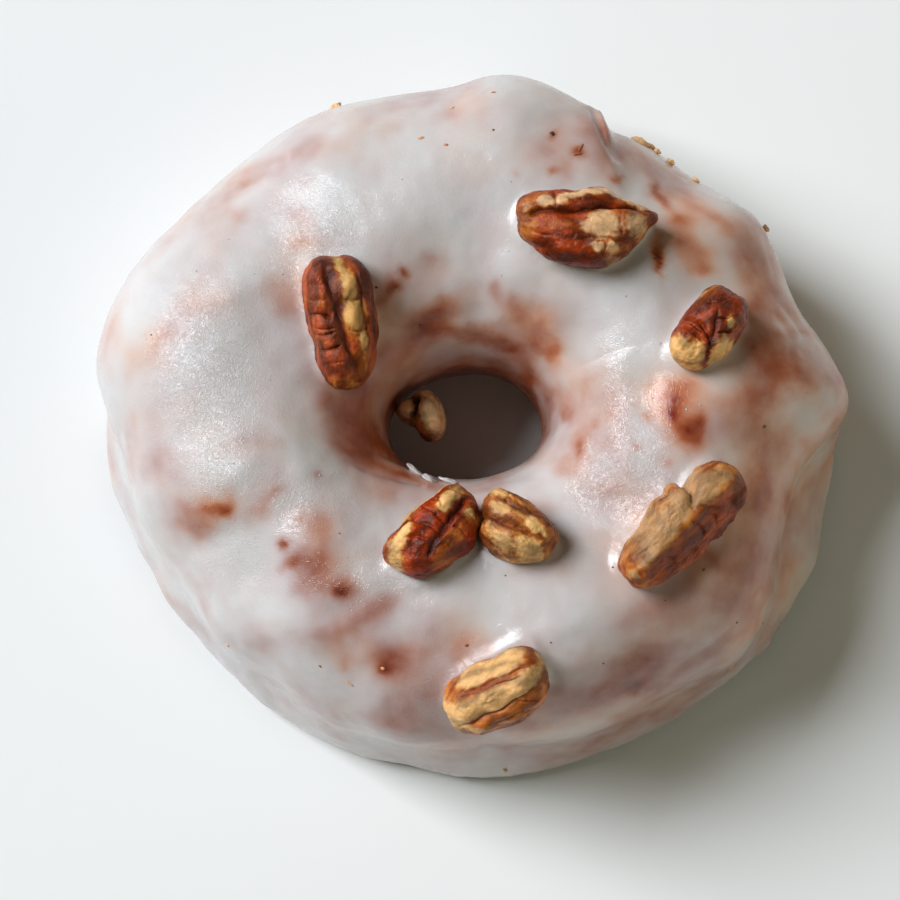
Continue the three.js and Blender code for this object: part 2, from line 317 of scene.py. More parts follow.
ring = {
    "holeX": -0.8,
    "holeY": -1.0,
    "radius": 43.0,
    "holeWide": 9.6,
    "holeDeep": 7.3,
    "widest": 14.5,  # height of the widest place
    "crest": 33.5,
    "underside": 3.0,  # how far below the floor the round section would reach
    "squareTop": 2.15,
    "squareBase": 2.7,
    "topFrom": (0.0, 0.45),  # sines of the section over which the top's swellings come in
    "holeEdge": 4.5,  # where the glaze ends inside the hole
    "glazeThickness": 1.1,
    "gap": 0.15,  # between glaze and dough
    "outlineSwells": [  # direction and spread in degrees, and how far out
        (3, 6, 6.3), (12, 5, 2.2), (32, 9, 3.6), (62, 10, 1.5), (70, 6, -1.3), (83, 6, 2.8), (112, 16, 2.5),
        (142, 13, 2.7), (158, 8, 3.8), (172, 8, 4.7), (190, 9, 1.2), (225, 15, -0.5), (265, 14, -0.8),
        (319, 8, 3.4), (333, 6, 1.0),
    ],
    "topSwells": [  # place, spread and rise
        (-35.3, 1.4, 8, 1.2), (-2.3, 32.4, 11, 0.8), (-24.3, 23.4, 4.5, -1.1), (-19.3, 21.4, 2.2, 0.7),
        (30.7, -4.6, 9, 0.4), (-20.3, -15.6, 4, 1.0), (-31.3, -20.6, 4.5, -1.2), (-33.3, -10.6, 3.5, 0.8),
        (5.7, -29.6, 8, 0.5), (36.7, 12.4, 5, 0.4), (27.7, 28.4, 4.5, -0.7), (35.7, 23.4, 4, 0.6),
        (23.7, -27.6, 8, 0.4),
    ],
    "waves": [(0.23, 0.12, 0.05, 0.9, 0.3), (-0.15, 0.27, 0.11, 2.1, 0.26), (0.36, -0.22, 0.17, 4.0, 0.15)],
}

foot = {  # where the glaze pooled round the base
    "radius": 43.9,
    "start": 14.5,
    "lip": 2.1,
    "curve": 1.6,
    "blunt": 0.9,
    "undercut": 0.25,
    "swells": [
        (357, 6, 3.2), (341, 4, 1.3), (332, 17, 4.5), (325, 1.6, 0.7), (284, 12, 1.4), (270, 7, 0.4),
        (234, 12, 0.7), (206, 12, 0.4), (183, 13, 4.1),
    ],
}

lap = {  # one side of the dough stands above the other along this line
    "outer": (13.9, 43.4),
    "inner": (17.7, 27.4),
    "rise": 2.4,
    "shoulder": 9.0,
    "drop": 1.5,
    "outerFade": (-0.35, 0.35),  # shares of the line
    "innerFade": (1.25, 0.55),
}


def lapPlace(x, y):  # the share of the lap's line at each place, and the distance to its rounded side
    outer = np.array(lap["outer"])
    line = np.array(lap["inner"]) - outer
    length = np.hypot(*line)
    along = ((x - outer[0]) * line[0] + (y - outer[1]) * line[1]) / length ** 2
    across = ((x - outer[0]) * line[1] - (y - outer[1]) * line[0]) / length
    return along, across


def lapReach(along):  # the lap fades in from the outline and out towards the hole
    return smooth(*lap["outerFade"], along) * smooth(*lap["innerFade"], along)


def relief(x, y, z, topShare):  # swellings of the top and the lap, then broad waves over the whole skin
    along, across = lapPlace(x, y)
    wide = np.where(across > 0, lap["shoulder"], lap["drop"])
    rise = lap["rise"] * lapReach(along) * np.exp(-((across / wide) ** 2))
    for middleX, middleY, spread, height in ring["topSwells"]:
        rise += height * bell(np.hypot(x - middleX, y - middleY) / spread)
    rise *= topShare
    for acrossX, acrossY, acrossZ, phase, height in ring["waves"]:
        rise += height * np.sin(acrossX * x + acrossY * y + acrossZ * z + phase)
    return rise


def sectionBelow(height):  # the section angle below the widest place where the body passes a height
    drop = (ring["widest"] - height) / (ring["widest"] + ring["underside"])
    return math.asin(drop ** (ring["squareBase"] / 2))


def holeRadius(turn):  # an oval
    return 1 / np.hypot(np.cos(turn) / ring["holeWide"], np.sin(turn) / ring["holeDeep"])


def skinPoint(turn, section, inset, footed, lipWave=0.0):
    # turn goes round the hole and section from the outer side over the crest to the hole's side. The
    # section is a superellipse between the hole and the outline, moved along its own direction by the relief
    # less the inset, and drawn out to the foot's radius near the floor.
    outer = swollen(ring["radius"], ring["outlineSwells"], turn)
    middle = (outer + holeRadius(turn)) / 2
    half = (outer - holeRadius(turn)) / 2
    c = np.cos(section)
    s = np.sin(section)
    power = np.where(s > 0, 2 / ring["squareTop"], 2 / ring["squareBase"])
    reach = np.where(s > 0, ring["crest"] - ring["widest"], ring["widest"] + ring["underside"])
    rho = middle + half * signedPower(c, power)
    z = ring["widest"] + reach * signedPower(s, power)
    x = ring["holeX"] + rho * np.cos(turn)
    y = ring["holeY"] + rho * np.sin(turn)
    out = relief(x, y, z, smooth(*ring["topFrom"], s)) - inset
    if footed:
        edge = math.cos(sectionBelow(foot["lip"])) ** (2 / ring["squareBase"])
        wanted = swollen(foot["radius"], foot["swells"], turn) + lipWave
        lip = np.maximum(wanted - middle - half * edge, 0)
        low = np.clip((foot["start"] - z) / (foot["start"] - foot["lip"]), 0, 1)
        rho = rho + np.where(c > 0, lip * low ** foot["curve"], 0)
    rho = rho + out * c
    z = np.maximum(z + out * s, 0)
    return np.stack([ring["holeX"] + rho * np.cos(turn), ring["holeY"] + rho * np.sin(turn), z], axis=-1)


def topHeight(x, y, halvings=18):  # the height of the glaze, found by halving the section's range
    turn = np.arctan2(y - ring["holeY"], x - ring["holeX"])
    rho = np.hypot(x - ring["holeX"], y - ring["holeY"])
    low = np.zeros_like(rho)
    high = np.full_like(rho, np.pi)
    for _ in range(halvings):
        middle = (low + high) / 2
        point = skinPoint(turn, middle, 0.0, False)
        outside = np.hypot(point[..., 0] - ring["holeX"], point[..., 1] - ring["holeY"]) > rho
        low = np.where(outside, middle, low)
        high = np.where(outside, high, middle)
    return point[..., 2]


# The pecans: length, width and height are half sizes, yaw the long axis from +X, roll the turn about it and
# lift the middle's height above the glaze. lobes swell the outline: direction, spread and rise. furrows are
# [path, half width, depth], lumps [u, v, half sizes, turn, height], all in the nut's own u (along) and v.
# flesh, amber and dark are spots where the pale meat, an amber film or a deep brown shows, with a strength; a
# few dark spots are painted shade and a few amber and flesh spots painted highlights, as marked.
# facets are flat faces: the face's downhill direction in degrees, where along it the face starts, its height
# there and its slope. skin, meat and groove are colours, and sway is how far the furrows wander.

pecans = {
    "pecan_1": {
        "place": (-16.6, 9.3), "lift": 2.3, "yaw": 98, "roll": 0,
        "length": 8.3, "width": 4.4, "height": 4.2, "taper": 0.2, "square": 2.8, "section": 2.4,
        "lobes": [(20, 10, 0.6), (90, 12, -0.2), (125, 14, -0.7), (200, 12, 0.3), (310, 16, -0.5)],
        "furrows": [
            ([(9.2, 2.3), (6.6, 2.0), (4.2, 1.7), (1.6, 1.2)], 1.0, 0.6),
            ([(2.6, 1.3), (0.4, 0.8), (-1.8, 0.4), (-3.8, -0.3), (-5.6, -1.0)], 0.6, 0.5),
            ([(7.7, 4.6), (7.4, 3.6), (7.5, 2.6)], 0.2, 0.35),
            ([(5.4, 5.0), (5.6, 3.7), (5.2, 2.7)], 0.24, 0.45),
            ([(3.9, 4.9), (3.6, 3.7), (3.8, 2.6)], 0.18, 0.3),
            ([(1.5, 4.8), (1.9, 3.4), (1.4, 2.1)], 0.3, 0.6),
            ([(0.4, 4.4), (0.0, 3.2), (0.2, 1.9)], 0.18, 0.3),
            ([(-0.9, 4.3), (-0.8, 3.0), (-0.4, 1.8)], 0.24, 0.4),
            ([(-2.9, 4.0), (-2.7, 2.6), (-2.0, 1.2)], 0.3, 0.6),
            ([(-4.6, 3.2), (-4.2, 2.0), (-4.0, 0.8)], 0.18, 0.25),
            ([(3.6, 0.2), (3.3, -0.8), (3.5, -1.8)], 0.22, 0.4),
            ([(-0.3, -0.4), (-0.5, -1.4), (-0.2, -2.4)], 0.2, 0.3),
            ([(7.4, -1.6), (4.6, -2.0), (2.0, -2.0), (-1.0, -2.4)], 0.35, 0.5),
        ],
        "lumps": [
            (6.6, 3.6, 0.8, 1.0, 0, 0.35), (4.6, 3.8, 0.7, 1.0, 0, 0.35), (2.7, 3.6, 0.7, 1.0, 0, 0.35),
            (0.7, 3.2, 0.5, 1.0, 0, 0.3), (-1.8, 2.8, 0.8, 1.0, 0, 0.35), (-4.6, 1.8, 1.4, 1.2, 0, 0.4),
            (5.6, -0.4, 1.8, 0.7, 5, 0.5), (1.6, -0.7, 1.5, 0.8, 0, 0.55), (-1.6, -1.8, 1.2, 0.5, 0, 0.3),
        ],
        "flesh": [(7.6, 0.3, 1.0, 0.6, 10, 1.1), (5.2, -0.4, 1.8, 0.8, 6, 1.4),
                  (1.8, -0.7, 1.8, 1.0, 0, 1.5), (3.4, -0.6, 1.0, 0.6, 0, 0.7),
                  (-1.4, -1.7, 1.3, 0.5, 0, 1.1), (-7.7, -0.5, 0.5, 1.0, 0, 0.6),
                  (-3.4, -1.9, 1.4, 0.4, 0, 0.5)],
        "amber": [(-4.4, -1.6, 2.6, 0.8, 0, 1.2), (-7.2, 0.2, 1.0, 1.8, 0, 0.9),
                  (1.2, -2.0, 3.0, 0.4, 0, 0.9), (-2.0, 3.6, 1.2, 0.6, 0, 0.35),
                  (3.4, 3.9, 0.5, 1.0, 0, 0.4)],
        # the last two dark spots are painted shade on the nut's right side, which faces away from the light
        "dark": [(6.2, 2.0, 3.0, 0.75, 6, 1.3), (2.2, 1.3, 2.4, 0.55, 8, 1.2),
                 (-2.0, 0.4, 2.6, 0.36, 12, 1.1), (5.6, -2.8, 3.0, 0.9, 3, 1.2),
                 (0.6, -3.3, 3.6, 0.6, 0, 0.9)],
        "skin": (142, 58, 24), "meat": (208, 158, 90), "groove": (62, 25, 17), "sway": 0.12,
    },
    "pecan_2": {
        "place": (13.4, 21.2), "lift": 2.4, "yaw": -2, "roll": 0,
        "length": 8.2, "width": 5.0, "height": 4.3, "taper": -0.05, "square": 2.2, "section": 2.2,
        "lobes": [(11, 6, 1.4), (35, 10, -0.8), (110, 18, -0.8), (160, 10, 0.8), (205, 10, -0.6),
                  (290, 14, 0.6), (340, 10, -0.8)],
        "furrows": [
            ([(-7.6, 0.3), (-6.2, 0.8), (-4.2, 1.0), (-1.8, 0.8), (0.2, 1.3), (2.2, 1.6), (5.6, 1.9),
              (9.0, 1.8)], 0.45, 1.0),
            ([(-3.9, 3.8), (-3.8, 2.5), (-3.9, 1.2)], 0.16, 0.5),
            ([(-1.0, -2.6), (1.0, -2.3), (3.0, -2.2), (5.4, -2.5)], 0.3, 0.45),
            ([(-7.0, -1.2), (-5.6, -1.9), (-4.0, -2.2)], 0.22, 0.25),
            ([(-5.2, -3.4), (-4.0, -2.8), (-2.8, -2.9)], 0.2, 0.22),
            ([(-1.2, -3.4), (-1.6, -2.6), (-1.2, -1.8)], 0.2, 0.25),
            ([(4.4, 1.2), (4.3, -0.2), (4.6, -1.8)], 0.2, 0.35),
            ([(2.4, -2.4), (2.5, -3.4), (2.2, -4.4)], 0.2, 0.3),
        ],
        "lumps": [
            (-5.0, 2.3, 0.9, 0.7, 0, 0.4), (-2.4, 2.6, 1.1, 0.7, 0, 0.45), (1.2, 3.4, 2.0, 0.7, 5, 0.6),
            (5.2, 2.9, 1.9, 0.5, 0, 0.4), (2.2, -0.5, 1.8, 1.3, 5, 0.6), (-3.4, -0.8, 2.4, 0.8, 0, 0.4),
            (-1.6, -3.9, 2.0, 1.0, 0, 0.35), (3.4, -3.5, 1.0, 0.9, 0, 0.35), (6.4, -0.2, 1.6, 1.2, 0, 0.35),
        ],
        "flesh": [(-4.9, 2.2, 0.9, 0.7, 0, 1.2), (-3.1, 2.3, 0.6, 0.5, 0, 1.1),
                  (-2.0, 3.0, 1.2, 0.5, 8, 1.2), (0.8, 3.7, 2.0, 0.55, 8, 1.3),
                  (3.4, 3.8, 1.8, 0.5, -10, 1.2), (6.2, 2.6, 1.8, 0.4, -8, 1.1),
                  (2.2, -0.6, 1.7, 1.4, 0, 1.5), (0.2, -1.0, 0.9, 0.8, 0, 0.9),
                  (6.3, -0.2, 1.6, 1.5, 0, 0.9), (1.6, -3.2, 0.7, 0.45, 0, 1.1),
                  (3.4, -3.3, 0.8, 0.6, 0, 1.1), (3.8, -4.6, 1.6, 0.7, 0, 0.6),
                  (-7.3, 1.4, 0.7, 0.9, 0, 0.5)],
        # the last amber spot is a painted highlight on the ridge at the lower left
        "amber": [(-7.4, -0.2, 1.0, 2.2, 0, 1.2), (-6.2, 2.6, 1.2, 0.7, 0, 0.7), (7.6, 0.2, 1.2, 1.2, 0, 0.8),
                  (5.0, -3.8, 1.2, 1.0, 0, 0.7), (-3.2, -0.8, 1.6, 0.5, 0, 0.4)],
        "dark": [(1.0, 1.9, 2.8, 0.3, 6, 0.9), (-3.0, 1.0, 2.4, 0.3, 0, 0.9), (2.4, -2.2, 2.2, 0.2, 0, 0.8)],
        "skin": (128, 42, 4), "meat": (222, 176, 128), "groove": (70, 22, 8), "sway": 0.14,
    },
    "pecan_3": {
        "place": (28.9, 8.3), "lift": 2.1, "yaw": 49, "roll": 0,
        "length": 5.7, "width": 3.7, "height": 3.9, "taper": 0.0, "square": 2.3, "section": 2.2,
        "lobes": [(30, 16, 0.6), (90, 14, -0.3), (125, 12, -0.4), (215, 16, -0.1), (340, 12, 0.3)],
        "furrows": [
            ([(-4.6, -2.9), (-3.6, -2.5), (-2.6, -1.9), (-1.4, -1.4), (-0.2, -0.7), (1.2, 0.2)], 0.45, 0.55),
            ([(-1.7, 3.6), (-1.6, 2.2), (-1.4, 0.8), (-1.9, -0.8), (-2.5, -1.7)], 0.24, 0.6),
            ([(-3.3, 3.3), (-3.1, 2.0), (-2.9, 0.4), (-3.1, -1.4)], 0.22, 0.5),
            ([(-2.4, 3.3), (-2.3, 1.8), (-2.2, 0.2)], 0.14, 0.25),
            ([(-0.9, -1.6), (-0.2, -2.0), (0.5, -2.6)], 0.2, 0.5),
            ([(0.4, -0.5), (1.0, -1.2), (1.8, -1.7)], 0.18, 0.35),
            ([(0.8, 2.6), (1.8, 1.2), (3.2, 0.4)], 0.35, 0.25),
        ],
        "lumps": [(2.8, -1.0, 1.8, 1.1, 30, 0.4), (0.6, 2.0, 1.2, 1.4, 0, 0.35),
                  (-4.6, 0.4, 1.2, 1.6, 0, 0.45), (-1.6, -2.9, 1.2, 0.8, 20, 0.45),
                  (0.4, -1.7, 0.6, 0.5, 0, 0.25), (-2.6, 1.4, 0.4, 1.6, 0, 0.2)],
        "flesh": [(-5.3, 0.7, 1.0, 2.3, 5, 1.7), (-4.6, -1.0, 1.0, 1.2, 0, 1.3),
                  (-2.3, -3.3, 1.6, 0.7, 20, 1.4), (1.3, -2.0, 0.6, 0.4, 0, 1.0),
                  (2.6, 3.2, 1.4, 0.4, -20, 0.6), (-0.4, -3.6, 0.9, 0.5, 0, 0.8)],
        "amber": [(2.6, 2.9, 1.6, 0.6, -20, 0.9), (2.0, -2.6, 1.0, 0.5, 0, 0.7),
                  (-5.6, 0.6, 0.5, 2.0, 0, 0.4)],
        "dark": [(-2.4, -1.8, 1.6, 0.35, 30, 1.1), (-3.7, 1.6, 0.35, 1.6, 0, 0.6),
                 (2.2, -3.4, 2.4, 0.4, 15, 0.6)],
        "skin": (124, 42, 6), "meat": (222, 172, 106), "groove": (72, 20, 10), "sway": 0.12,
    },
    "pecan_4": {
        "place": (25.4, -16.4), "lift": 2.6, "yaw": 45, "roll": 14,
        "length": 9.6, "width": 4.0, "height": 4.4, "taper": 0.1, "square": 2.8, "section": 2.8,
        "lobes": [(40, 7, -1.8), (62, 8, 0.6), (92, 12, 0.5), (140, 10, -0.5), (262, 12, 0.2), (298, 8, 0.3)],
        "facets": [(90, 1.1, 3.75, 0.10), (-90, -1.1, 3.75, 0.62)],
        "furrows": [
            ([(-7.4, 2.4), (-5.6, 2.1), (-3.8, 1.9)], 0.2, 0.22),
            ([(-8.8, 1.9), (-8.2, 1.2), (-8.3, 0.4)], 0.16, 0.3),
            ([(2.0, 1.9), (2.9, 1.3), (3.6, 0.4), (4.4, -0.8)], 0.28, 0.35),
            ([(0.6, 0.6), (1.2, -0.8), (1.0, -2.2)], 0.24, 0.3),
            ([(3.0, 0.2), (3.4, -1.2), (3.0, -2.6)], 0.22, 0.28),
            ([(-4.6, 0.0), (-4.0, -1.2), (-4.2, -2.4)], 0.24, 0.28),
            ([(5.6, -0.4), (6.4, -1.4), (6.4, -2.6)], 0.2, 0.25),
        ],
        "lumps": [(-6.0, 1.2, 2.2, 0.35, 6, 0.35), (2.2, 1.0, 1.4, 0.5, 10, 0.25),
                  (6.6, 0.8, 1.4, 0.4, -10, 0.2), (-1.6, -1.4, 1.4, 0.8, 0, 0.2),
                  (4.6, -1.8, 1.2, 0.8, 0, 0.2)],
        # the third flesh spot, narrow along the ridge, is a painted highlight
        "flesh": [(-1.6, 2.7, 4.6, 1.3, 6, 1.4), (4.6, 2.4, 3.4, 1.2, -6, 1.3),
                  (-5.6, 1.4, 2.1, 0.34, 8, 1.7), (1.6, 3.6, 3.0, 1.0, 0, 1.0),
                  (-8.8, 0.7, 0.5, 0.6, 0, 1.0), (7.6, 1.6, 1.4, 1.0, 0, 0.8)],
        "amber": [(-1.6, 1.1, 4.2, 0.6, 4, 1.3), (-6.8, 2.6, 1.8, 1.0, 0, 0.8), (8.2, 0.8, 1.2, 1.2, 0, 1.2),
                  (-8.8, -0.6, 0.8, 1.2, 0, 0.9), (-6.4, 0.4, 2.0, 0.4, 6, 0.7)],
        "dark": [(3.4, -0.8, 2.8, 1.2, 10, 0.4), (-3.6, -1.4, 4.0, 0.9, 0, 0.3),
                 (2.8, 1.5, 0.7, 0.3, 20, 0.8)],
        "skin": (140, 56, 10), "meat": (178, 134, 88), "groove": (84, 28, 4), "sway": 0.2,
    },
    "pecan_5": {
        "place": (2.5, -36.7), "lift": 2.3, "yaw": 35, "roll": 0,
        "length": 6.9, "width": 4.2, "height": 4.1, "taper": 0.0, "square": 2.7, "section": 2.4,
        "lobes": [(30, 14, 1.2), (150, 14, -0.4), (330, 12, -0.3)],
        "furrows": [
            ([(-7.0, 2.2), (-5.0, 3.0), (0.0, 3.5), (4.0, 3.5), (6.6, 3.1)], 0.42, 0.55),
            ([(-5.4, 2.5), (-3.0, 2.9), (0.0, 3.0), (3.6, 3.0), (5.4, 2.8)], 0.14, 0.35),
            ([(-5.8, -0.9), (-3.4, -0.4), (-1.2, 0.1), (1.0, 0.3), (3.0, 0.6), (5.4, 0.8)], 0.28, 0.45),
            ([(3.0, 0.4), (4.4, -0.6), (5.4, -1.4)], 0.18, 0.35),
            ([(-1.0, -1.4), (1.4, -1.2), (3.4, -1.6)], 0.2, 0.25),
        ],
        "lumps": [(-3.6, 1.2, 1.6, 0.8, 4, 0.25), (2.6, 1.8, 2.2, 0.7, 2, 0.25), (0.6, 4.2, 3.2, 0.5, 0, 0.2),
                  (1.4, -1.0, 2.4, 0.8, 4, 0.3)],
        "flesh": [(-1.4, 1.5, 6.4, 1.1, 3, 1.6), (4.4, 2.0, 2.8, 1.0, 0, 1.4), (0.0, 4.6, 6.5, 0.9, 0, 1.3),
                  (-5.6, 0.2, 1.4, 1.8, 0, 1.3), (-3.6, -1.6, 2.0, 0.6, 0, 0.9),
                  (3.0, 4.4, 3.0, 0.8, 0, 1.0)],
        "amber": [(2.0, -1.4, 3.6, 0.9, 4, 0.9), (6.6, 1.6, 0.8, 2.2, 0, 1.2), (4.4, 4.6, 2.0, 0.6, 0, 0.9),
                  (-4.0, 4.0, 2.2, 0.6, 0, 0.5)],
        "dark": [(0.4, 3.45, 5.8, 0.26, 1, 1.0), (0.6, 0.3, 4.6, 0.13, 7, 0.7),
                 (4.8, -0.8, 1.2, 0.6, 0, 0.35)],
        "skin": (168, 88, 34), "meat": (212, 164, 104), "groove": (146, 62, 16), "sway": 0.05,
    },
    "pecan_6": {
        "place": (-4.8, -17.3), "lift": 2.4, "yaw": 45, "roll": 0,
        "length": 6.6, "width": 4.0, "height": 4.2, "taper": 0.0, "square": 2.4, "section": 2.2,
        "lobes": [(30, 14, 1.3), (135, 12, -0.5), (163, 9, 0.9), (334, 12, -0.4)],
        "furrows": [
            ([(5.0, 0.5), (3.4, -0.4), (1.6, -1.1), (-0.6, -1.6), (-2.6, -2.3), (-4.8, -3.2)], 0.6, 0.75),
            ([(-2.6, 1.8), (-1.8, 0.8), (-1.4, -0.4), (-1.2, -1.4)], 0.24, 0.5),
            ([(-0.2, 2.2), (0.2, 1.0), (0.0, -0.2), (0.2, -1.2)], 0.22, 0.45),
            ([(-4.4, 0.4), (-3.4, -0.6), (-3.0, -1.6)], 0.22, 0.35),
            ([(1.6, 2.4), (2.0, 1.6), (1.2, 0.6)], 0.2, 0.35),
            ([(0.6, -2.0), (1.4, -2.6), (1.6, -3.6)], 0.22, 0.4),
            ([(-1.8, -2.8), (-1.0, -3.2), (-0.8, -4.0)], 0.2, 0.3),
            ([(2.8, -1.0), (3.6, -1.8), (3.8, -2.8)], 0.2, 0.35),
        ],
        "lumps": [(-3.2, 0.2, 1.2, 0.9, 0, 0.35), (-0.6, 0.6, 0.8, 1.0, 0, 0.35),
                  (2.8, 1.0, 1.2, 0.9, 0, 0.4), (0.8, 2.6, 3.2, 0.4, 4, 0.35),
                  (2.4, -2.0, 1.0, 0.7, 20, 0.35), (-0.4, -2.8, 1.2, 0.7, 20, 0.3)],
        "flesh": [(1.4, 3.5, 4.2, 0.4, 4, 1.5), (1.6, 0.5, 0.8, 0.7, 0, 1.4), (3.2, 1.2, 1.4, 0.7, 12, 1.5),
                  (4.8, 1.8, 1.0, 0.8, 0, 0.9), (-4.2, 1.3, 1.1, 0.55, 8, 1.5),
                  (-5.6, 1.0, 1.1, 0.8, 0, 1.2), (-6.6, 0.2, 0.6, 1.0, 0, 1.0),
                  (3.9, -1.7, 0.8, 0.5, 0, 1.1), (4.6, -2.6, 1.0, 0.7, 0, 0.8)],
        "amber": [(6.0, 1.8, 1.0, 1.4, 0, 1.1), (-0.8, -3.2, 2.6, 0.6, 12, 0.8),
                  (4.6, -2.2, 1.2, 1.2, 0, 0.9), (-6.4, 0.6, 0.8, 1.2, 0, 0.7)],
        "dark": [(0.4, -1.5, 4.4, 0.42, 20, 1.3), (-0.8, 0.4, 0.3, 1.4, 0, 0.4)],
        "skin": (140, 42, 4), "meat": (228, 178, 112), "groove": (62, 14, 6), "sway": 0.16,
    },
    "pecan_7": {
        "place": (4.6, -16.6), "lift": 2.1, "yaw": -41, "roll": 0,
        "length": 5.4, "width": 3.8, "height": 3.8, "taper": 0.0, "square": 2.3, "section": 2.2,
        "lobes": [(30, 14, 0.6), (145, 12, 0.6), (202, 14, -1.4), (330, 14, -0.4)],
        "furrows": [
            ([(-4.6, -1.2), (-3.0, -1.5), (-1.0, -1.6), (0.8, -1.3), (2.4, -0.8), (4.4, -0.2)], 0.45, 0.4),
            ([(-2.2, 1.2), (-1.0, 1.0), (0.6, 1.2)], 0.24, 0.2),
            ([(-2.8, 3.0), (-2.2, 2.2), (-1.2, 1.8)], 0.2, 0.25),
        ],
        "lumps": [(-1.2, -0.1, 1.6, 0.8, 0, 0.35), (3.0, 0.9, 1.4, 0.8, 0, 0.3),
                  (-3.4, 1.8, 1.2, 0.8, 0, 0.3), (3.4, -2.0, 1.6, 0.9, 10, 0.4),
                  (0.4, -3.0, 1.4, 0.7, 0, 0.25)],
        "flesh": [(-3.5, 1.9, 1.3, 0.8, 0, 1.3), (-1.6, -0.1, 1.2, 0.8, 0, 1.3), (3.0, 0.5, 1.2, 0.6, 0, 1.2),
                  (4.7, -1.1, 1.0, 0.6, 0, 1.5), (3.5, -2.0, 1.1, 0.7, 0, 1.4), (1.0, -3.0, 2.0, 0.7, 0, 1.0),
                  (4.2, 0.6, 0.6, 0.5, 0, 0.9), (-1.4, -2.6, 0.9, 0.5, 0, 0.7), (0.8, 0.4, 1.4, 0.5, 0, 0.6)],
        "amber": [(0.6, 2.6, 3.6, 0.8, 0, 0.9), (5.4, 0.6, 0.7, 1.6, 0, 1.1), (0.0, -1.2, 2.6, 0.5, 5, 0.4),
                  (4.8, -2.6, 0.8, 0.8, 0, 0.8)],
        "dark": [(-4.0, -1.5, 1.0, 1.0, 0, 1.0), (-1.4, -1.6, 2.6, 0.3, 3, 0.9),
                 (2.6, -0.7, 1.8, 0.2, 18, 0.6)],
        "skin": (138, 74, 32), "meat": (216, 168, 106), "groove": (104, 44, 14), "sway": 0.12,
    },
    "pecan_8": {  # wedged upright in the hole, so its middle has its own height
        "place": (-5.9, 0.3), "middle": 15.5, "yaw": 105, "roll": 0,
        "length": 3.2, "width": 2.0, "height": 6.0, "taper": 0.0, "square": 2.2, "section": 2.4,
        "lobes": [(64, 18, 2.1)],
        "furrows": [([(2.6, 0.6), (1.4, 1.3), (0.4, 1.8), (-0.8, 2.6)], 0.4, 1.8)],
        "lumps": [(1.2, 3.0, 1.0, 0.8, 0, 0.4), (-0.4, -0.3, 2.0, 1.0, 0, 0.5)],
        "flesh": [(1.2, 3.0, 1.4, 1.1, 0, 1.6), (0.2, -0.4, 2.8, 1.3, 0, 1.6)],
        "amber": [(-2.2, -0.6, 0.8, 1.2, 0, 0.6)],
        "dark": [(0.8, 1.6, 1.4, 0.3, -40, 1.2)],
        "skin": (120, 56, 26), "meat": (214, 176, 128), "groove": (54, 22, 10), "sway": 0.1,
    },
}

nutFinish = {
    "turns": 220,
    "sections": 138,
    "waves": [(1.5, 0.7, 0.4, 0.16), (-0.9, 1.7, 2.3, 0.14)],  # across u and v, phase and height
    "slopeReach": 2.5,  # how far out the glaze's slope is felt
    "sink": 0.35,  # how deep the underside sits in the glaze
    "wrinkle": 0.11,
    "wrinkleSize": 1.5,
    "wrinkleStretch": (0.75, 1.25, 1.0),
    "pores": 0.025,
    "poreSize": 0.42,
    "uneven": 0.26,
    "unevenSize": 2.3,
    "grain": 0.9,
    "grainSize": 1.6,
    "grainStretch": (0.45, 1.0, 1.0),
    "wobble": {"flesh": 0.35, "amber": 0.45, "dark": 0.25},  # how far the edges of the films waver
    "wobbleSize": 0.9,
    "filmFade": (-0.75, -0.25),  # sines of the section below which the films fade out
    "facetEdge": 0.35,  # how far from a facet's edge its corner is rounded
    "ceiling": 39.7,  # above this height a nut's top is pressed down
    "press": 0.5,
}


def nutPlace(nut):  # the nut's long, side and up directions, square to the glaze under it, and its middle
    x, y = nut["place"]
    up = np.array([0.0, 0.0, 1.0])
    height = nut.get("middle")
    if height is None:
        reach = nutFinish["slopeReach"]
        atX = x + reach * np.array([1.0, -1.0, 0.0, 0.0, 0.0])
        atY = y + reach * np.array([0.0, 0.0, 1.0, -1.0, 0.0])
        right, left, back, front, here = topHeight(atX, atY, 30)
        up = np.array([left - right, front - back, 2 * reach])
        up /= np.linalg.norm(up)
        height = here + nut["lift"]
    yaw = math.radians(nut["yaw"])
    long = np.array([math.cos(yaw), math.sin(yaw), 0.0])
    side = np.cross(up, long)
    side /= np.linalg.norm(side)
    long = np.cross(side, up)
    roll = math.radians(nut["roll"])
    c = math.cos(roll)
    s = math.sin(roll)
    turned = np.stack([long, side * c + up * s, up * c - side * s])
    return turned, np.array([x, y, height])


def nutOutline(nut, turn):  # a superellipse with swellings
    along = np.abs(np.cos(turn) / nut["length"]) ** nut["square"]
    across = np.abs(np.sin(turn) / nut["width"]) ** nut["square"]
    return swollen(0.0, nut["lobes"], turn) + (along + across) ** (-1 / nut["square"])


for nut in pecans.values():
    nut["axes"], nut["centre"] = nutPlace(nut)
print("places of", len(pecans), "nuts worked out")


# The glaze

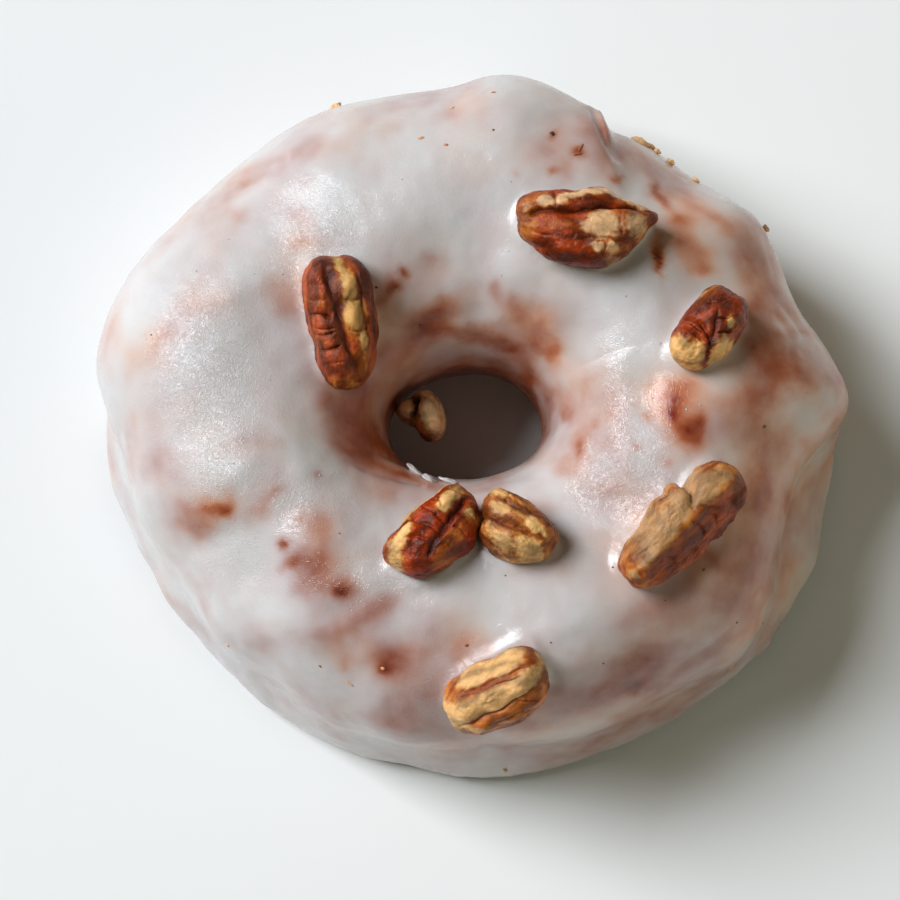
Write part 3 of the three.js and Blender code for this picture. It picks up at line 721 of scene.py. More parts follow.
glazeCoat = {
    "turns": 576,
    "outerRows": 146,
    "innerRows": 14,
    "lipRows": 5,
    "edgeRows": 4,
    "edgeBulge": 0.02,  # radians by which the edge in the hole is rounded
    "seeds": {"lip": 11, "flow": (21, 22, 23), "thinAndShade": 31, "warm": 41},
    "flow": [(9.0, 0.22), (4.0, 0.12), (1.9, 0.05)],  # sizes of the flow waves and their heights
    "lipRadius": 45,  # of the circle along which the lip's waves run
    "lipWaves": [(7.0, 0.42), (2.6, 0.16)],
    "fadeRows": (14, 12),  # rows over which the relief comes in at the lip and goes out in the hole
    "sunk": 0.24,  # keeps the flow waves inside the solid's size
    "clearance": 0.4,  # the coat's least height above the floor
    "holeSide": (0.1, -0.3),  # cosines of the section from the outer side to the hole's
    "pool": (6.0, 1.5),  # heights between which the glaze turns into the pool at the foot
    "leather": 0.16,  # fine wrinkles everywhere, and more on the leather spots
    "warm": 0.45,  # share of orange crust: everywhere, in clouds, more at the right and less at the front
    "warmClouds": 0.9,
    "warmSize": 13,
    "warmRight": 0.3,
    "warmRightReach": (0, 40),
    "coolFront": 0.4,
    "coolFrontReach": (-8, -32),
    "meniscus": {"reach": 0.32, "rise": 0.28, "under": 0.7, "rounding": 0.8, "level": 3.0, "near": 16},
    # Furrows, folds and ridges of the glaze, as [path in x and y, half width, depth]
    "folds": [
        ([(15.2, 39.6), (15.7, 37.8), (16.3, 36.0), (17.1, 33.6), (18.3, 30.6)], 0.5, 0.9),
        ([(16.6, 5.6), (17.1, 3.8), (17.6, 1.0), (17.9, -2.5), (18.1, -7.0), (18.0, -12.0)], 1.8, -0.95),
        ([(-16.2, -7.0), (-12.3, -8.2), (-8.8, -9.0), (-6.0, -9.6)], 0.45, 0.4),
        ([(-13.2, -5.6), (-10.8, -5.9), (-8.6, -6.6), (-6.8, -7.3)], 0.4, 0.35),
        ([(39.2, 13.6), (41.8, 9.8), (41.4, 6.2)], 0.45, 0.35),
        ([(38.0, 12.2), (40.0, 8.6), (39.8, 5.0)], 0.4, 0.3),
        ([(23.0, 20.6), (23.1, 17.4), (23.4, 15.8)], 0.8, 0.3),
        ([(-28.6, 30.6), (-26.0, 31.8), (-23.8, 32.4)], 0.6, 0.3),
        ([(-32.2, 27.0), (-29.4, 28.4), (-27.0, 29.2)], 0.6, 0.3),
        ([(43.6, -8.0), (42.4, -12.2), (40.0, -17.0), (37.4, -22.2)], 0.6, 0.35),
        ([(37.0, -23.0), (31.0, -29.6), (24.0, -34.6)], 0.6, 0.3),
    ],
    # Hollows and swellings too small for the solids: x, y, half sizes, turn, height
    "dimples": [
        (-33.0, -17.5, 3.2, 1.6, 15, -0.45), (-29.0, -9.0, 2.2, 1.5, 40, 0.35),
        (-21.5, -9.5, 1.6, 1.2, 0, 0.25), (-23.0, -14.0, 2.0, 1.4, 30, -0.3),
        (-16.5, -26.5, 2.4, 1.2, 20, -0.35), (-12.5, -22.5, 2.6, 1.6, 10, 0.3),
        (10.0, -29.0, 3.2, 1.6, 20, 0.3), (-38.5, 9.0, 0.9, 0.7, 0, -0.4),
        (-4.8, 10.4, 4.0, 0.8, 12, -0.35), (9.4, 7.6, 2.4, 0.6, -42, -0.35),
        (2.0, 15.5, 4.5, 2.2, 10, 0.25), (34.5, 1.0, 2.2, 2.6, 0, -0.25),
        (-2.0, -30.0, 3.0, 1.8, 30, -0.3), (-24.0, -28.5, 4.0, 1.4, -35, 0.3),
        (-9.0, -35.5, 3.6, 1.4, -10, 0.25), (20.5, -35.5, 2.0, 0.9, 30, -0.3),
        (-29.5, 14.0, 4.0, 2.0, 20, 0.2), (-20.5, 17.5, 1.0, 2.4, -10, 0.3),
    ],
}

# Where the coat is thin and the crust shows through: x, y, half sizes along and across, turn, strength.
thinSpots = {
    "hole": [
        (-15.6, 9.0, 3.2, 2.7, 0, 0.42), (-12.7, 12.7, 1.5, 1.7, 60, 0.5),
        (-8.9, 16.2, 0.5, 0.6, 70, 0.85), (-10.5, 13.9, 1.0, 0.6, 50, 0.85),
        (-9.8, 14.6, 0.4, 0.4, 0, 0.8), (-11.9, 11.7, 1.2, 1.7, 60, 0.5), (-7.1, 10.3, 1.6, 1.0, 25, 0.52),
        (-5.4, 11.2, 1.7, 1.0, 25, 0.6), (-3.2, 12.6, 1.9, 0.8, 10, 0.5), (-7.3, 8.7, 1.6, 0.8, 30, 0.7),
        (-4.5, 9.6, 2.1, 0.8, 5, 0.58), (-1.8, 9.5, 2.1, 0.8, -5, 0.56), (1.3, 9.1, 2.0, 0.8, -10, 0.54),
        (3.5, 8.1, 1.6, 0.8, -25, 0.58), (4.9, 7.6, 1.0, 0.6, -10, 0.7), (-11.5, 7.3, 2.0, 1.5, 0, 0.55),
        (-10.3, 4.7, 3.0, 1.5, 30, 0.5), (-15.6, 2.3, 1.3, 2.8, 80, 0.6), (-17.0, -0.5, 1.5, 2.0, 60, 0.6),
        (-14.3, -3.3, 2.8, 2.3, -40, 0.62), (-15.8, -6.4, 1.8, 0.6, -25, 0.6),
        (-11.5, -4.9, 3.3, 0.9, -22, 0.72), (-10.1, -8.2, 3.3, 0.5, -22, 0.62),
        (-5.7, -9.1, 2.0, 0.4, -14, 0.5), (-10.3, -9.7, 2.3, 1.8, -30, 0.42),
        (-11.0, -11.5, 1.0, 1.0, 0, 0.4), (4.8, 12.3, 1.1, 1.0, 0, 0.38), (8.2, 10.5, 1.5, 1.5, 0, 0.42),
        (5.5, 10.7, 1.5, 1.3, 0, 0.45), (8.8, 8.6, 1.5, 1.0, -30, 0.55), (8.2, 7.7, 1.9, 0.6, -45, 0.66),
        (10.3, 7.3, 0.7, 0.9, 0, 0.6), (3.8, 12.8, 2.0, 0.8, -25, 0.3), (7.2, 3.9, 0.6, 2.3, 15, 0.72),
        (10.0, 2.2, 0.5, 1.1, 20, 0.55), (11.7, -0.2, 0.6, 1.3, 10, 0.62), (12.9, -5.4, 0.5, 1.0, 0, 0.62),
        (10.7, -7.5, 1.0, 1.8, 40, 0.45), (13.9, -1.3, 1.0, 2.3, 0, 0.42), (14.5, 2.7, 1.3, 1.5, 0, 0.3),
        (12.6, -4.7, 1.3, 3.3, 0, 0.35), (17.0, -1.0, 1.0, 1.8, 0, 0.3), (2.7, 14.3, 0.5, 1.0, 0, 0.45),
        (-0.9, 14.7, 1.5, 1.0, 0, 0.28), (-5.0, 18.1, 1.1, 0.6, 0, 0.38),
    ],
    "upperLeft": [
        (-33.3, 11.8, 2.4, 1.1, -5, 0.4), (-39.8, 8.0, 2.0, 1.0, 40, 0.34),
        (-41.4, 5.6, 1.0, 1.7, 60, 0.3), (-36.7, 8.1, 2.7, 0.9, 5, 0.26), (-24.1, 11.3, 1.1, 1.0, 0, 0.4),
        (-24.2, 14.2, 1.0, 2.0, 80, 0.3), (-30.2, 24.6, 1.0, 0.9, 0, 0.34),
        (-25.0, 25.6, 1.3, 1.5, 30, 0.32), (-22.1, 23.5, 1.0, 0.7, 20, 0.46),
        (-22.1, 20.0, 0.6, 1.5, 80, 0.4), (-21.5, 28.0, 0.7, 0.7, 0, 0.28),
        (-20.7, 33.8, 1.8, 1.3, -40, 0.3), (-25.0, 32.0, 1.5, 0.5, 15, 0.34),
        (-28.7, 29.1, 1.3, 0.5, 20, 0.3), (-28.8, 30.9, 2.8, 1.5, 25, 0.16),
        (-29.2, 28.4, 3.3, 1.3, 25, 0.12), (-16.6, 38.0, 5.1, 1.3, 12, 0.28),
        (-7.2, 36.4, 7.5, 1.5, 4, 0.22), (0.7, 37.3, 4.5, 3.0, -30, 0.22),
    ],
    "left": [
        (-43.0, -1.9, 1.3, 3.8, 85, 0.22), (-39.4, -8.5, 1.5, 2.8, 80, 0.28),
        (-24.6, -2.0, 1.1, 2.2, 80, 0.28), (-26.6, 1.4, 1.5, 1.2, 0, 0.22),
        (-26.2, -5.4, 1.5, 1.2, 0, 0.24), (-25.6, 4.3, 1.0, 1.0, 0, 0.2),
        (-31.3, -14.3, 1.0, 0.6, 0, 0.95), (-32.9, -14.1, 1.7, 1.0, 10, 0.7),
        (-35.6, -13.8, 2.0, 1.8, 0, 0.46), (-35.0, -16.0, 1.3, 1.0, 0, 0.42),
        (-30.5, -12.5, 0.6, 1.0, 0, 0.45), (-26.7, -14.3, 1.2, 1.1, 0, 0.52),
        (-24.9, -12.3, 1.2, 0.6, 35, 0.46), (-39.0, -17.2, 1.3, 2.0, -60, 0.18),
        (-19.7, -9.5, 0.4, 0.5, 0, 0.6),
    ],
    "lowerLeft": [
        (-21.2, -15.2, 0.2, 0.4, 0, 0.5), (-19.5, -16.7, 1.1, 1.0, 0, 0.42),
        (-23.8, -18.5, 0.5, 0.5, 0, 0.85), (-22.7, -20.4, 0.6, 1.2, -70, 0.6),
        (-20.8, -20.2, 1.5, 1.5, 0, 0.5), (-19.4, -22.0, 1.5, 2.0, 0, 0.62),
        (-21.6, -23.9, 1.0, 1.0, 0, 0.38), (-16.9, -24.4, 0.6, 0.5, 0, 1.1),
        (-16.1, -23.9, 1.5, 1.1, 0, 0.66), (-13.0, -26.6, 2.0, 1.0, 30, 0.55),
        (-10.6, -25.4, 1.2, 0.7, 20, 0.4), (-16.1, -28.4, 2.5, 1.0, 20, 0.36),
        (-20.4, -29.8, 3.0, 1.0, 0, 0.34), (-26.8, -29.7, 3.8, 1.5, -20, 0.14),
        (-16.5, -32.9, 0.5, 0.5, 0, 0.4), (-11.4, -33.5, 0.6, 0.6, 0, 0.8),
        (-11.2, -32.1, 2.0, 1.2, 0, 0.46), (-9.5, -33.4, 1.5, 1.5, 0, 0.44),
        (-10.3, -39.2, 2.0, 1.3, 0, 0.4), (-14.3, -36.0, 3.8, 1.5, -15, 0.22),
        (-17.6, -39.3, 5.1, 1.3, -20, 0.14),
    ],
    "bottom": [
        (-0.9, -29.7, 1.5, 1.0, 0, 0.42), (-1.1, -30.8, 1.7, 1.2, 0, 0.42),
        (-5.1, -37.3, 2.0, 2.8, 0, 0.34), (-4.5, -41.2, 2.0, 1.8, 0, 0.4),
        (-1.3, -42.1, 2.0, 1.0, 0, 0.42), (6.2, -39.8, 2.0, 1.3, 40, 0.45),
        (10.1, -36.2, 1.3, 1.0, 0, 0.42), (-5.7, -42.7, 5.1, 1.0, 0, 0.22),
        (20.0, -35.6, 1.0, 0.6, 20, 0.85), (20.5, -34.2, 1.8, 1.8, 40, 0.52),
        (22.0, -32.4, 1.8, 2.0, 0, 0.46), (16.7, -36.0, 3.0, 0.9, 10, 0.44),
        (24.4, -30.5, 2.8, 2.3, 20, 0.32), (25.2, -25.9, 2.7, 1.5, 20, 0.34),
        (30.3, -25.1, 2.3, 2.5, 60, 0.38), (36.4, -22.7, 1.0, 2.3, 80, 0.42),
        (36.0, -26.8, 1.3, 2.3, 60, 0.34), (32.6, -29.5, 3.0, 2.0, 30, 0.34),
        (20.8, -27.0, 2.0, 1.0, 10, 0.3), (14.4, -38.5, 3.8, 1.5, 10, 0.34),
        (10.6, -40.1, 3.1, 1.5, 0, 0.32), (30.0, -20.3, 1.0, 2.2, 70, 0.62),
        (33.5, -17.5, 2.3, 3.0, 60, 0.6), (35.8, -12.9, 1.8, 2.8, 80, 0.5),
        (35.2, -0.2, 1.0, 2.2, 110, 0.42),
    ],
    "right": [
        (24.8, -2.0, 0.9, 1.1, 0, 1.3), (24.6, -0.6, 1.2, 1.5, 0, 0.8), (26.5, -4.4, 1.2, 1.2, 0, 0.95),
        (27.9, -3.1, 0.9, 1.2, 0, 0.85), (26.8, -5.7, 1.0, 0.7, 0, 0.72), (23.9, -8.1, 0.5, 0.5, 0, 0.5),
        (21.3, -2.2, 0.4, 0.4, 0, 0.5), (19.9, -6.1, 0.4, 0.4, 0, 0.55), (24.2, 0.5, 2.0, 1.2, 0, 0.5),
        (22.5, -1.0, 1.7, 1.5, 0, 0.36), (18.1, -1.4, 1.0, 2.5, 0, 0.2), (40.2, 6.2, 2.0, 4.5, 80, 0.5),
        (37.5, 3.4, 2.7, 2.0, 0, 0.48), (35.6, 6.1, 1.5, 2.2, 0, 0.52), (34.7, 10.4, 1.5, 2.2, 0, 0.55),
        (40.0, 12.3, 1.5, 2.8, 100, 0.52), (38.2, 14.6, 1.1, 1.0, 0, 0.55),
        (37.6, 18.5, 1.8, 3.0, 105, 0.55), (34.1, 19.6, 2.3, 1.5, -40, 0.46),
        (32.9, 22.8, 3.3, 1.0, -35, 0.46), (37.1, 22.9, 2.0, 1.0, -40, 0.55),
        (41.9, 9.7, 0.6, 2.8, 105, 0.6), (40.3, 1.7, 1.0, 1.0, 0, 0.35), (34.1, -3.3, 2.7, 2.7, 0, 0.45),
        (35.0, 0.1, 1.2, 1.0, 0, 0.5), (37.6, -5.4, 2.5, 2.5, 0, 0.44), (36.9, -9.7, 2.8, 1.5, 60, 0.42),
        (40.0, -11.5, 1.5, 3.1, 80, 0.4), (38.6, -19.2, 1.0, 2.6, 80, 0.35),
        (46.2, 3.7, 0.8, 3.1, 100, 0.42), (46.5, -1.0, 0.8, 2.3, 80, 0.38),
        (41.9, -4.4, 0.8, 0.6, 0, 0.45), (29.0, 18.7, 1.0, 1.5, 100, 0.5),
    ],
    "upperRight": [
        (28.6, 16.5, 0.6, 1.1, 80, 0.62), (26.3, 20.1, 1.5, 2.0, 40, 0.42),
        (25.1, 19.6, 1.5, 1.2, 0, 0.42), (25.8, 23.2, 1.0, 0.9, 0, 0.62), (23.1, 17.3, 0.4, 1.6, 5, 1.1),
        (22.8, 20.5, 0.5, 1.2, 5, 0.5), (23.3, 27.2, 1.5, 0.5, 110, 0.75),
        (23.9, 25.5, 1.5, 0.6, 120, 0.55), (25.9, 30.9, 1.7, 0.9, -20, 0.6),
        (25.1, 27.8, 1.3, 1.0, 0, 0.42), (29.3, 31.0, 1.8, 0.5, -15, 0.55),
        (27.3, 26.2, 1.8, 1.0, -30, 0.42), (22.5, 31.0, 2.5, 1.0, 115, 0.42),
        (21.2, 32.9, 1.8, 0.8, -35, 0.45), (18.2, 28.5, 0.5, 0.5, 0, 0.65),
        (18.4, 32.6, 2.5, 2.0, 100, 0.42), (16.2, 34.7, 2.3, 1.8, 120, 0.46),
        (15.7, 29.7, 2.0, 1.2, 120, 0.42), (17.5, 38.6, 2.4, 0.9, -30, 0.34),
        (22.0, 36.4, 2.4, 0.9, -35, 0.36), (30.1, 24.0, 2.5, 1.0, -35, 0.3), (9.7, 33.8, 0.4, 0.4, 0, 0.8),
        (10.8, 32.6, 1.7, 1.7, 0, 0.42), (8.8, 31.4, 1.5, 2.0, 0, 0.36), (13.0, 31.2, 0.6, 0.6, 0, 0.8),
        (9.8, 28.5, 0.6, 0.4, 0, 0.65), (4.7, 28.2, 0.4, 0.4, 0, 0.4), (11.4, 28.8, 0.7, 1.2, 0, 0.45),
    ],
}

thickSpots = [(18.2, 10.2, 6, 9, 0, 1.0), (10.7, 14.0, 6, 4, 0, 0.9), (-4.3, -24.3, 9, 3.5, 0, 0.9),
              (-28.2, -20.4, 6, 4, -20, 1.0), (-5.6, 25.5, 12, 5, 0, 1.0), (-27.0, 17.9, 5, 5, 0, 0.8),
              (10.7, -25.5, 9, 4, 0, 1.0), (-35.7, 1.3, 5, 6, 0, 0.7), (-15.6, -12.8, 3.5, 4, 0, 0.7),
              (40.8, -0.6, 1.6, 1.6, 0, 1.0), (7.0, 23.6, 5, 5, 0, 0.9), (30.8, 25.5, 3, 1.5, -35, 0.8),
              (30.8, 2.5, 3, 1.4, -20, 0.9), (1.0, -45.0, 9, 2, 0, 0.7)]

leatherSpots = [(-33.5, 2.5, 6.0, 9.0, 0, 1.0), (-19.0, 21.5, 5.0, 5.0, 0, 0.4),
                (-3.0, -36.0, 5.0, 4.0, 30, 0.5), (-32.0, -10.0, 3.0, 3.0, 0, 0.7),
                (-30.0, -20.0, 4.0, 3.0, 0, 0.6), (-21.0, -13.0, 3.5, 3.0, 0, 0.7),
                (17.0, -1.0, 2.0, 7.0, 0, 0.5), (15.6, -11.0, 3.0, 3.0, 0, 1.0),
                (21.5, -10.5, 2.5, 3.0, 0, 0.9), (-13.0, -23.0, 5.0, 3.0, 0, 0.5),
                (-20.0, 18.0, 3.0, 5.0, 0, 0.6)]

# How thin the coat is between and round the listed spots
thinCoat = {
    "bend": 0.6,  # how far noise bends the spots' edges
    "bendSize": 3.2,
    "strengthPower": 1.4,
    "strongest": 0.98,
    "corePower": 0.64,  # the higher, the crisper a spot
    "crisper": 0.6,  # added to it for each unit of strength over the next value
    "crisperFrom": 0.8,
    "halo": 0.16,
    "haloPower": 0.2,
    "veil": 0.14,  # thinness everywhere
    "veilClouds": 0.36,
    "cloudSize": 8.5,
    "paintedShadeVeil": 0.2,  # painted shade: what the veil gains towards the right and the front, which face away from the light
    "paintedShadeReach": 36,
    "paintedShadeWay": (0.75, -0.65),
    "veilMost": 0.52,
    "thickClears": 0.7,
    "shadedWallFacing": 140.0,  # degrees round the hole, where its wall is darkest: painted shade on the side turned from the light
    "wallSide": (-0.75, 0.7),  # cosines of the angle from there over which the wall darkens
    "wallLeast": 0.6,
    "wallHeights": (25, 12),
    "wallRagged": (2.2, 3.0),  # how far noise moves those heights, and its size
    "flank": 0.24,  # thinness above the foot at the right
    "flankReach": (16, 34),
    "flankLean": 0.35,
    "flankHeights": (19, 10),
}

sugarGlaze = {
    # The colour by thinness, over cool crust and over orange crust
    "cool": [
        (0.0, (206, 203, 202)), (0.2, (200, 190, 188)), (0.4, (188, 166, 163)), (0.6, (172, 132, 121)),
        (0.8, (144, 80, 60)), (1.0, (88, 18, 5)),
    ],
    "orange": [
        (0.0, (207, 204, 201)), (0.2, (205, 193, 187)), (0.4, (205, 180, 167)), (0.6, (202, 152, 126)),
        (0.8, (176, 98, 60)), (1.0, (126, 30, 3)),
    ],
    # painted light in part: the pooled glaze's own whiter colour, made whiter to lift the foot out of its
    # shade
    "pooled": (214, 211, 209),
    "poolShare": 0.3,
    "mottleSize": 2.6,
    "uneven": (0.4, 0.8),  # the mottling's share in the thinness, and the rest
    "fineSize": 0.55,
    "roughness": (0.10, 0.19),  # share of the fine noise, and the least
    "creaseSize": 0.75,
    "creaseTwist": 1.6,
    "creaseHeight": 0.3,
    "swellSize": 2.4,
    "swellHeight": 0.05,
    "grainHeight": 0.014,
    "grainShare": (0.9, 0.1),  # on the leathery spots, and everywhere
    "coat": 0.25,
    "coatRoughness": 0.10,
    "ior": 1.45,
    "scatter": (0.4, (1.0, 0.72, 0.58), 1.1),  # weight, reach of red, green and blue, depth in millimetres
}


def glazeRelief(points, noises):  # flow waves, dimples and folds, along the normal
    x, y = points[..., 0], points[..., 1]
    rise = np.zeros(x.shape)
    for noise, (size, height) in zip(noises, glazeCoat["flow"]):
        rise += height * noise(points / size)
    for dimple in glazeCoat["dimples"]:
        rise += dimple[5] * spot(x, y, dimple)
    for path, wide, depth in glazeCoat["folds"]:
        away, share = pathDistance(x, y, path)
        rise -= depth * bell(away / wide) * np.sqrt(np.maximum(4 * share * (1 - share), 0))
    return rise


def nutMeniscus(points):
    # The glaze stands up against each nut: most where it meets the nut's side, fading over the reach, and it
    # lies raised under the nut.
    rim = glazeCoat["meniscus"]
    total = np.zeros(points.shape[:-1])
    for nut in pecans.values():
        own = (points - nut["centre"]) @ nut["axes"].T
        turn = np.arctan2(own[..., 1] / (1 + nut["taper"] * own[..., 0] / nut["length"]), own[..., 0])
        away = np.hypot(own[..., 0], own[..., 1]) - nutOutline(nut, turn)
        level = np.exp(-((own[..., 2] + nut.get("lift", 0.0)) / rim["level"]) ** 4)
        outside = rim["rise"] * np.exp(-np.maximum(away, 0) / rim["reach"])
        inside = (rim["under"] - rim["rise"]) * smooth(0, -rim["rounding"], away)
        near = np.abs(own[..., 0]) < rim["near"]
        total = np.maximum(total, np.where(near, (outside + inside) * level, 0))
    return total


def glazeThinnessAndShade(points, noise, holeSide):
    # The union of the thin spots, each an oval bell in a wide faint halo, read through a noise-bent place so
    # that its edge is uneven, over a veil that is cloudy and clears where the coat is thick. The veil gains
    # painted shade towards the right and the front, which face away from the light. The coat thins out down
    # in the hole, where the wall also gets painted shade, most on the side at the wall's facing angle, which
    # is turned from the light, and above the foot at the right. The numbers added to the points keep the
    # noises apart.
    px, py, pz = np.moveaxis(points, -1, 0)
    x, y = [place + thinCoat["bend"] * cloudy(noise, points + shift, thinCoat["bendSize"], 4)
            for place, shift in ((px, 31), (py, 77))]
    cover = np.ones(x.shape)
    for place in sum(thinSpots.values(), []):
        core = spot(x, y, place)
        strength = min(place[5] ** thinCoat["strengthPower"], thinCoat["strongest"])
        crisp = thinCoat["corePower"] + thinCoat["crisper"] * max(place[5] - thinCoat["crisperFrom"], 0)
        cover *= 1 - strength * core ** crisp
        cover *= 1 - thinCoat["halo"] * place[5] * core ** thinCoat["haloPower"]
    thick = np.zeros(x.shape)
    for place in thickSpots:
        thick = np.maximum(thick, place[5] * spot(x, y, place))
    veil = thinCoat["veil"] + thinCoat["veilClouds"] * cloudy(noise, points + 11, thinCoat["cloudSize"], 3)
    # painted shade: the veil, and so the darkness of the crust colour, grows towards the right and the front
    paintedShadeX, paintedShadeY = thinCoat["paintedShadeWay"]
    veil += thinCoat["paintedShadeVeil"] * smooth(0, thinCoat["paintedShadeReach"], paintedShadeX * px + paintedShadeY * py)
    veil = np.clip(veil, 0, thinCoat["veilMost"]) * (1 - thinCoat["thickClears"] * thick)
    turn = np.arctan2(py - ring["holeY"], px - ring["holeX"])
    side = smooth(*thinCoat["wallSide"], np.cos(turn - math.radians(thinCoat["shadedWallFacing"])))
    raggedBy, raggedSize = thinCoat["wallRagged"]
    # Down the hole the wall darkens: partly crust where the coat thins, partly painted shade in the hole and
    # on the side turned from the light
    wall = smooth(*thinCoat["wallHeights"], pz + raggedBy * noise(points / raggedSize)) * holeSide
    wall *= thinCoat["wallLeast"] + (1 - thinCoat["wallLeast"]) * side
    flank = thinCoat["flank"] * smooth(*thinCoat["flankReach"], px - thinCoat["flankLean"] * py)
    flank *= smooth(*thinCoat["flankHeights"], pz) * (1 - holeSide)
    return 1 - cover * (1 - veil) * (1 - wall) * (1 - flank)


def makeGlazeMaterial():
    # Two ramps of colour over the thinness and its painted shade, blended by warmth, and whiter where the
    # glaze pooled at the foot, partly its own colour and partly painted light on the shaded foot. Fine
    # creases and grain show on the leathery spots.
    material, tree, shader = newMaterial("sugarGlaze")
    leather = readAttribute(tree, "leather")
    mottle = noiseOf(tree, sugarGlaze["mottleSize"], 5, 0.55)
    fine = noiseOf(tree, sugarGlaze["fineSize"], 4, 0.6)
    uneven = compute(tree, "MULTIPLY_ADD", mottle, *sugarGlaze["uneven"])
    share = compute(tree, "MULTIPLY", readAttribute(tree, "thinAndShade"), uneven)
    cool = colorRamp(tree, share, sugarGlaze["cool"])
    orange = colorRamp(tree, share, sugarGlaze["orange"])
    color = blend(tree, readAttribute(tree, "warm"), cool, orange)
    # the pool's whiter colour: partly thick glaze, partly painted light on the shaded foot
    pool = compute(tree, "MULTIPLY", readAttribute(tree, "pool"), sugarGlaze["poolShare"])
    setInput(tree, shader, "Base Color", blend(tree, pool, color, linear(*sugarGlaze["pooled"])))
    setInput(tree, shader, "Roughness", compute(tree, "MULTIPLY_ADD", fine, *sugarGlaze["roughness"]))
    creased = noiseOf(tree, sugarGlaze["creaseSize"], 3, 0.6, sugarGlaze["creaseTwist"])
    lines = compute(tree, "ABSOLUTE", compute(tree, "SUBTRACT", creased, 0.5))
    normal = bump(tree, compute(tree, "MULTIPLY", lines, leather), sugarGlaze["creaseHeight"])
    swell = noiseOf(tree, sugarGlaze["swellSize"], 2, 0.5)
    normal = bump(tree, swell, sugarGlaze["swellHeight"], 1.0, normal)
    grainy = compute(tree, "MULTIPLY_ADD", leather, *sugarGlaze["grainShare"])
    normal = bump(tree, compute(tree, "MULTIPLY", fine, grainy), sugarGlaze["grainHeight"], 1.0, normal)
    setInput(tree, shader, "Normal", normal)
    setInput(tree, shader, "Coat Normal", normal)
    setInput(tree, shader, "Coat Weight", sugarGlaze["coat"])
    setInput(tree, shader, "Coat Roughness", sugarGlaze["coatRoughness"])
    setInput(tree, shader, "IOR", sugarGlaze["ior"])
    setScatter(tree, shader, *sugarGlaze["scatter"])
    return material


glazeMaterial = makeGlazeMaterial()


def glazeSection():
    # Rows round the ring: the lip's blunt edge, the outer skin up over the crest and down the hole, the round
    # edge there, and the inner skin back. Gives each row's section angle, how far it is set in, and how many
    # rows belong to the lip and the outer skin.
    lipEnd = -sectionBelow(foot["lip"])
    outerEnd = -sectionBelow(foot["lip"] + foot["blunt"])
    holeEnd = math.pi + sectionBelow(ring["holeEdge"])
    thick = ring["glazeThickness"]
    lipShare = np.arange(glazeCoat["lipRows"]) / glazeCoat["lipRows"]
    edgeShare = np.arange(1, glazeCoat["edgeRows"] + 1) / (glazeCoat["edgeRows"] + 1)
    outer = np.linspace(outerEnd, holeEnd, glazeCoat["outerRows"])
    inner = np.linspace(holeEnd, lipEnd, glazeCoat["innerRows"])
    section = np.concatenate([
        lipEnd + (outerEnd - lipEnd) * lipShare,
        outer,
        holeEnd + glazeCoat["edgeBulge"] * np.sin(np.pi * edgeShare),
        inner,
    ])
    inset = np.concatenate([
        foot["undercut"] * (1 - np.sqrt(1 - (1 - lipShare) ** 2)),
        np.zeros(len(outer)),
        thick * edgeShare,
        np.full(len(inner), thick),
    ])
    return section, inset, len(lipShare) + len(outer)


def makeGlaze():
    # The ring's skin with the foot drawn out and its lip wavy, moved along its normals by the relief. The
    # attributes say how thin, leathery, pooled and warm the coat is at each point; the thinness also holds
    # painted shade, and the pooling painted light.
    seeds = glazeCoat["seeds"]
    section, inset, count = glazeSection()
    rows = np.arange(len(section))
    turn = roundAngles(glazeCoat["turns"])
    turns, sections = np.meshgrid(turn, section)
    insets = inset[:, None] + 0 * turns
    circle = np.stack([np.cos(turn), np.sin(turn), 0 * turn], axis=-1) * glazeCoat["lipRadius"]
    lipNoise = makeNoise(seeds["lip"])
    lipWave = sum(height * lipNoise(circle / size) for size, height in glazeCoat["lipWaves"])
    footed = (rows < count)[:, None]
    withFoot = skinPoint(turns, sections, insets, True, lipWave)
    bare = skinPoint(turns, sections, insets, False)
    points = np.where(footed[..., None], withFoot, bare)
    noises = [makeNoise(seed) for seed in seeds["flow"]]
    fadeIn, fadeOut = glazeCoat["fadeRows"]
    fade = smooth(0, fadeIn, rows) * smooth(count, count - fadeOut, rows)
    rise = glazeRelief(points, noises) + nutMeniscus(points) - glazeCoat["sunk"]
    points = points + gridNormals(points, True) * (rise * fade[:, None])[..., None]
    points[..., 2] = np.maximum(points[..., 2], glazeCoat["clearance"])
    x, y, z = np.moveaxis(points, -1, 0)
    holeSide = smooth(*glazeCoat["holeSide"], np.cos(sections))
    leather = glazeCoat["leather"] + sum(place[5] * spot(x, y, place) for place in leatherSpots)
    clouds = cloudy(makeNoise(seeds["warm"]), points, glazeCoat["warmSize"], 3)
    warm = glazeCoat["warm"] + glazeCoat["warmClouds"] * clouds
    warm += glazeCoat["warmRight"] * smooth(*glazeCoat["warmRightReach"], x)
    warm -= glazeCoat["coolFront"] * smooth(*glazeCoat["coolFrontReach"], y)
    attributes = {
        "thinAndShade": glazeThinnessAndShade(points, makeNoise(seeds["thinAndShade"]), holeSide),
        "leather": np.clip(leather, 0, 1),
        "pool": smooth(*glazeCoat["pool"], z) * footed * (np.cos(sections) > 0),
        "warm": np.clip(warm, 0, 1),
    }
    piece = makeRingPiece("glazeCoat", points, attributes, glazeMaterial)
    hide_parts("glaze")
    return points[:count]


glazeTop = makeGlaze()
print("glaze made:", glazeTop.shape[:2])


# The dough under it

doughCrust = {
    "turns": 360,
    "overRows": 30,
    "underRows": 48,
    "crust": [(6.0, 0.18), (2.0, 0.08), (0.8, 0.04)],  # sizes of the lumps and their heights
    "seed": 51,
    "colors": [(0.28, (128, 72, 34)), (0.5, (164, 102, 54)), (0.74, (196, 140, 84))],
    "poreColor": (104, 58, 28),
    "mottleSize": 5.0,
    "fineSize": 0.9,
    "fineHeight": 0.22,
    "poreSize": 0.6,
    "poreEdge": (0.3, 0.42),
    "poreHeight": 0.12,
    "roughness": (0.25, 0.5),
    "scatter": (0.1, (1.0, 0.5, 0.25), 1.0),
}


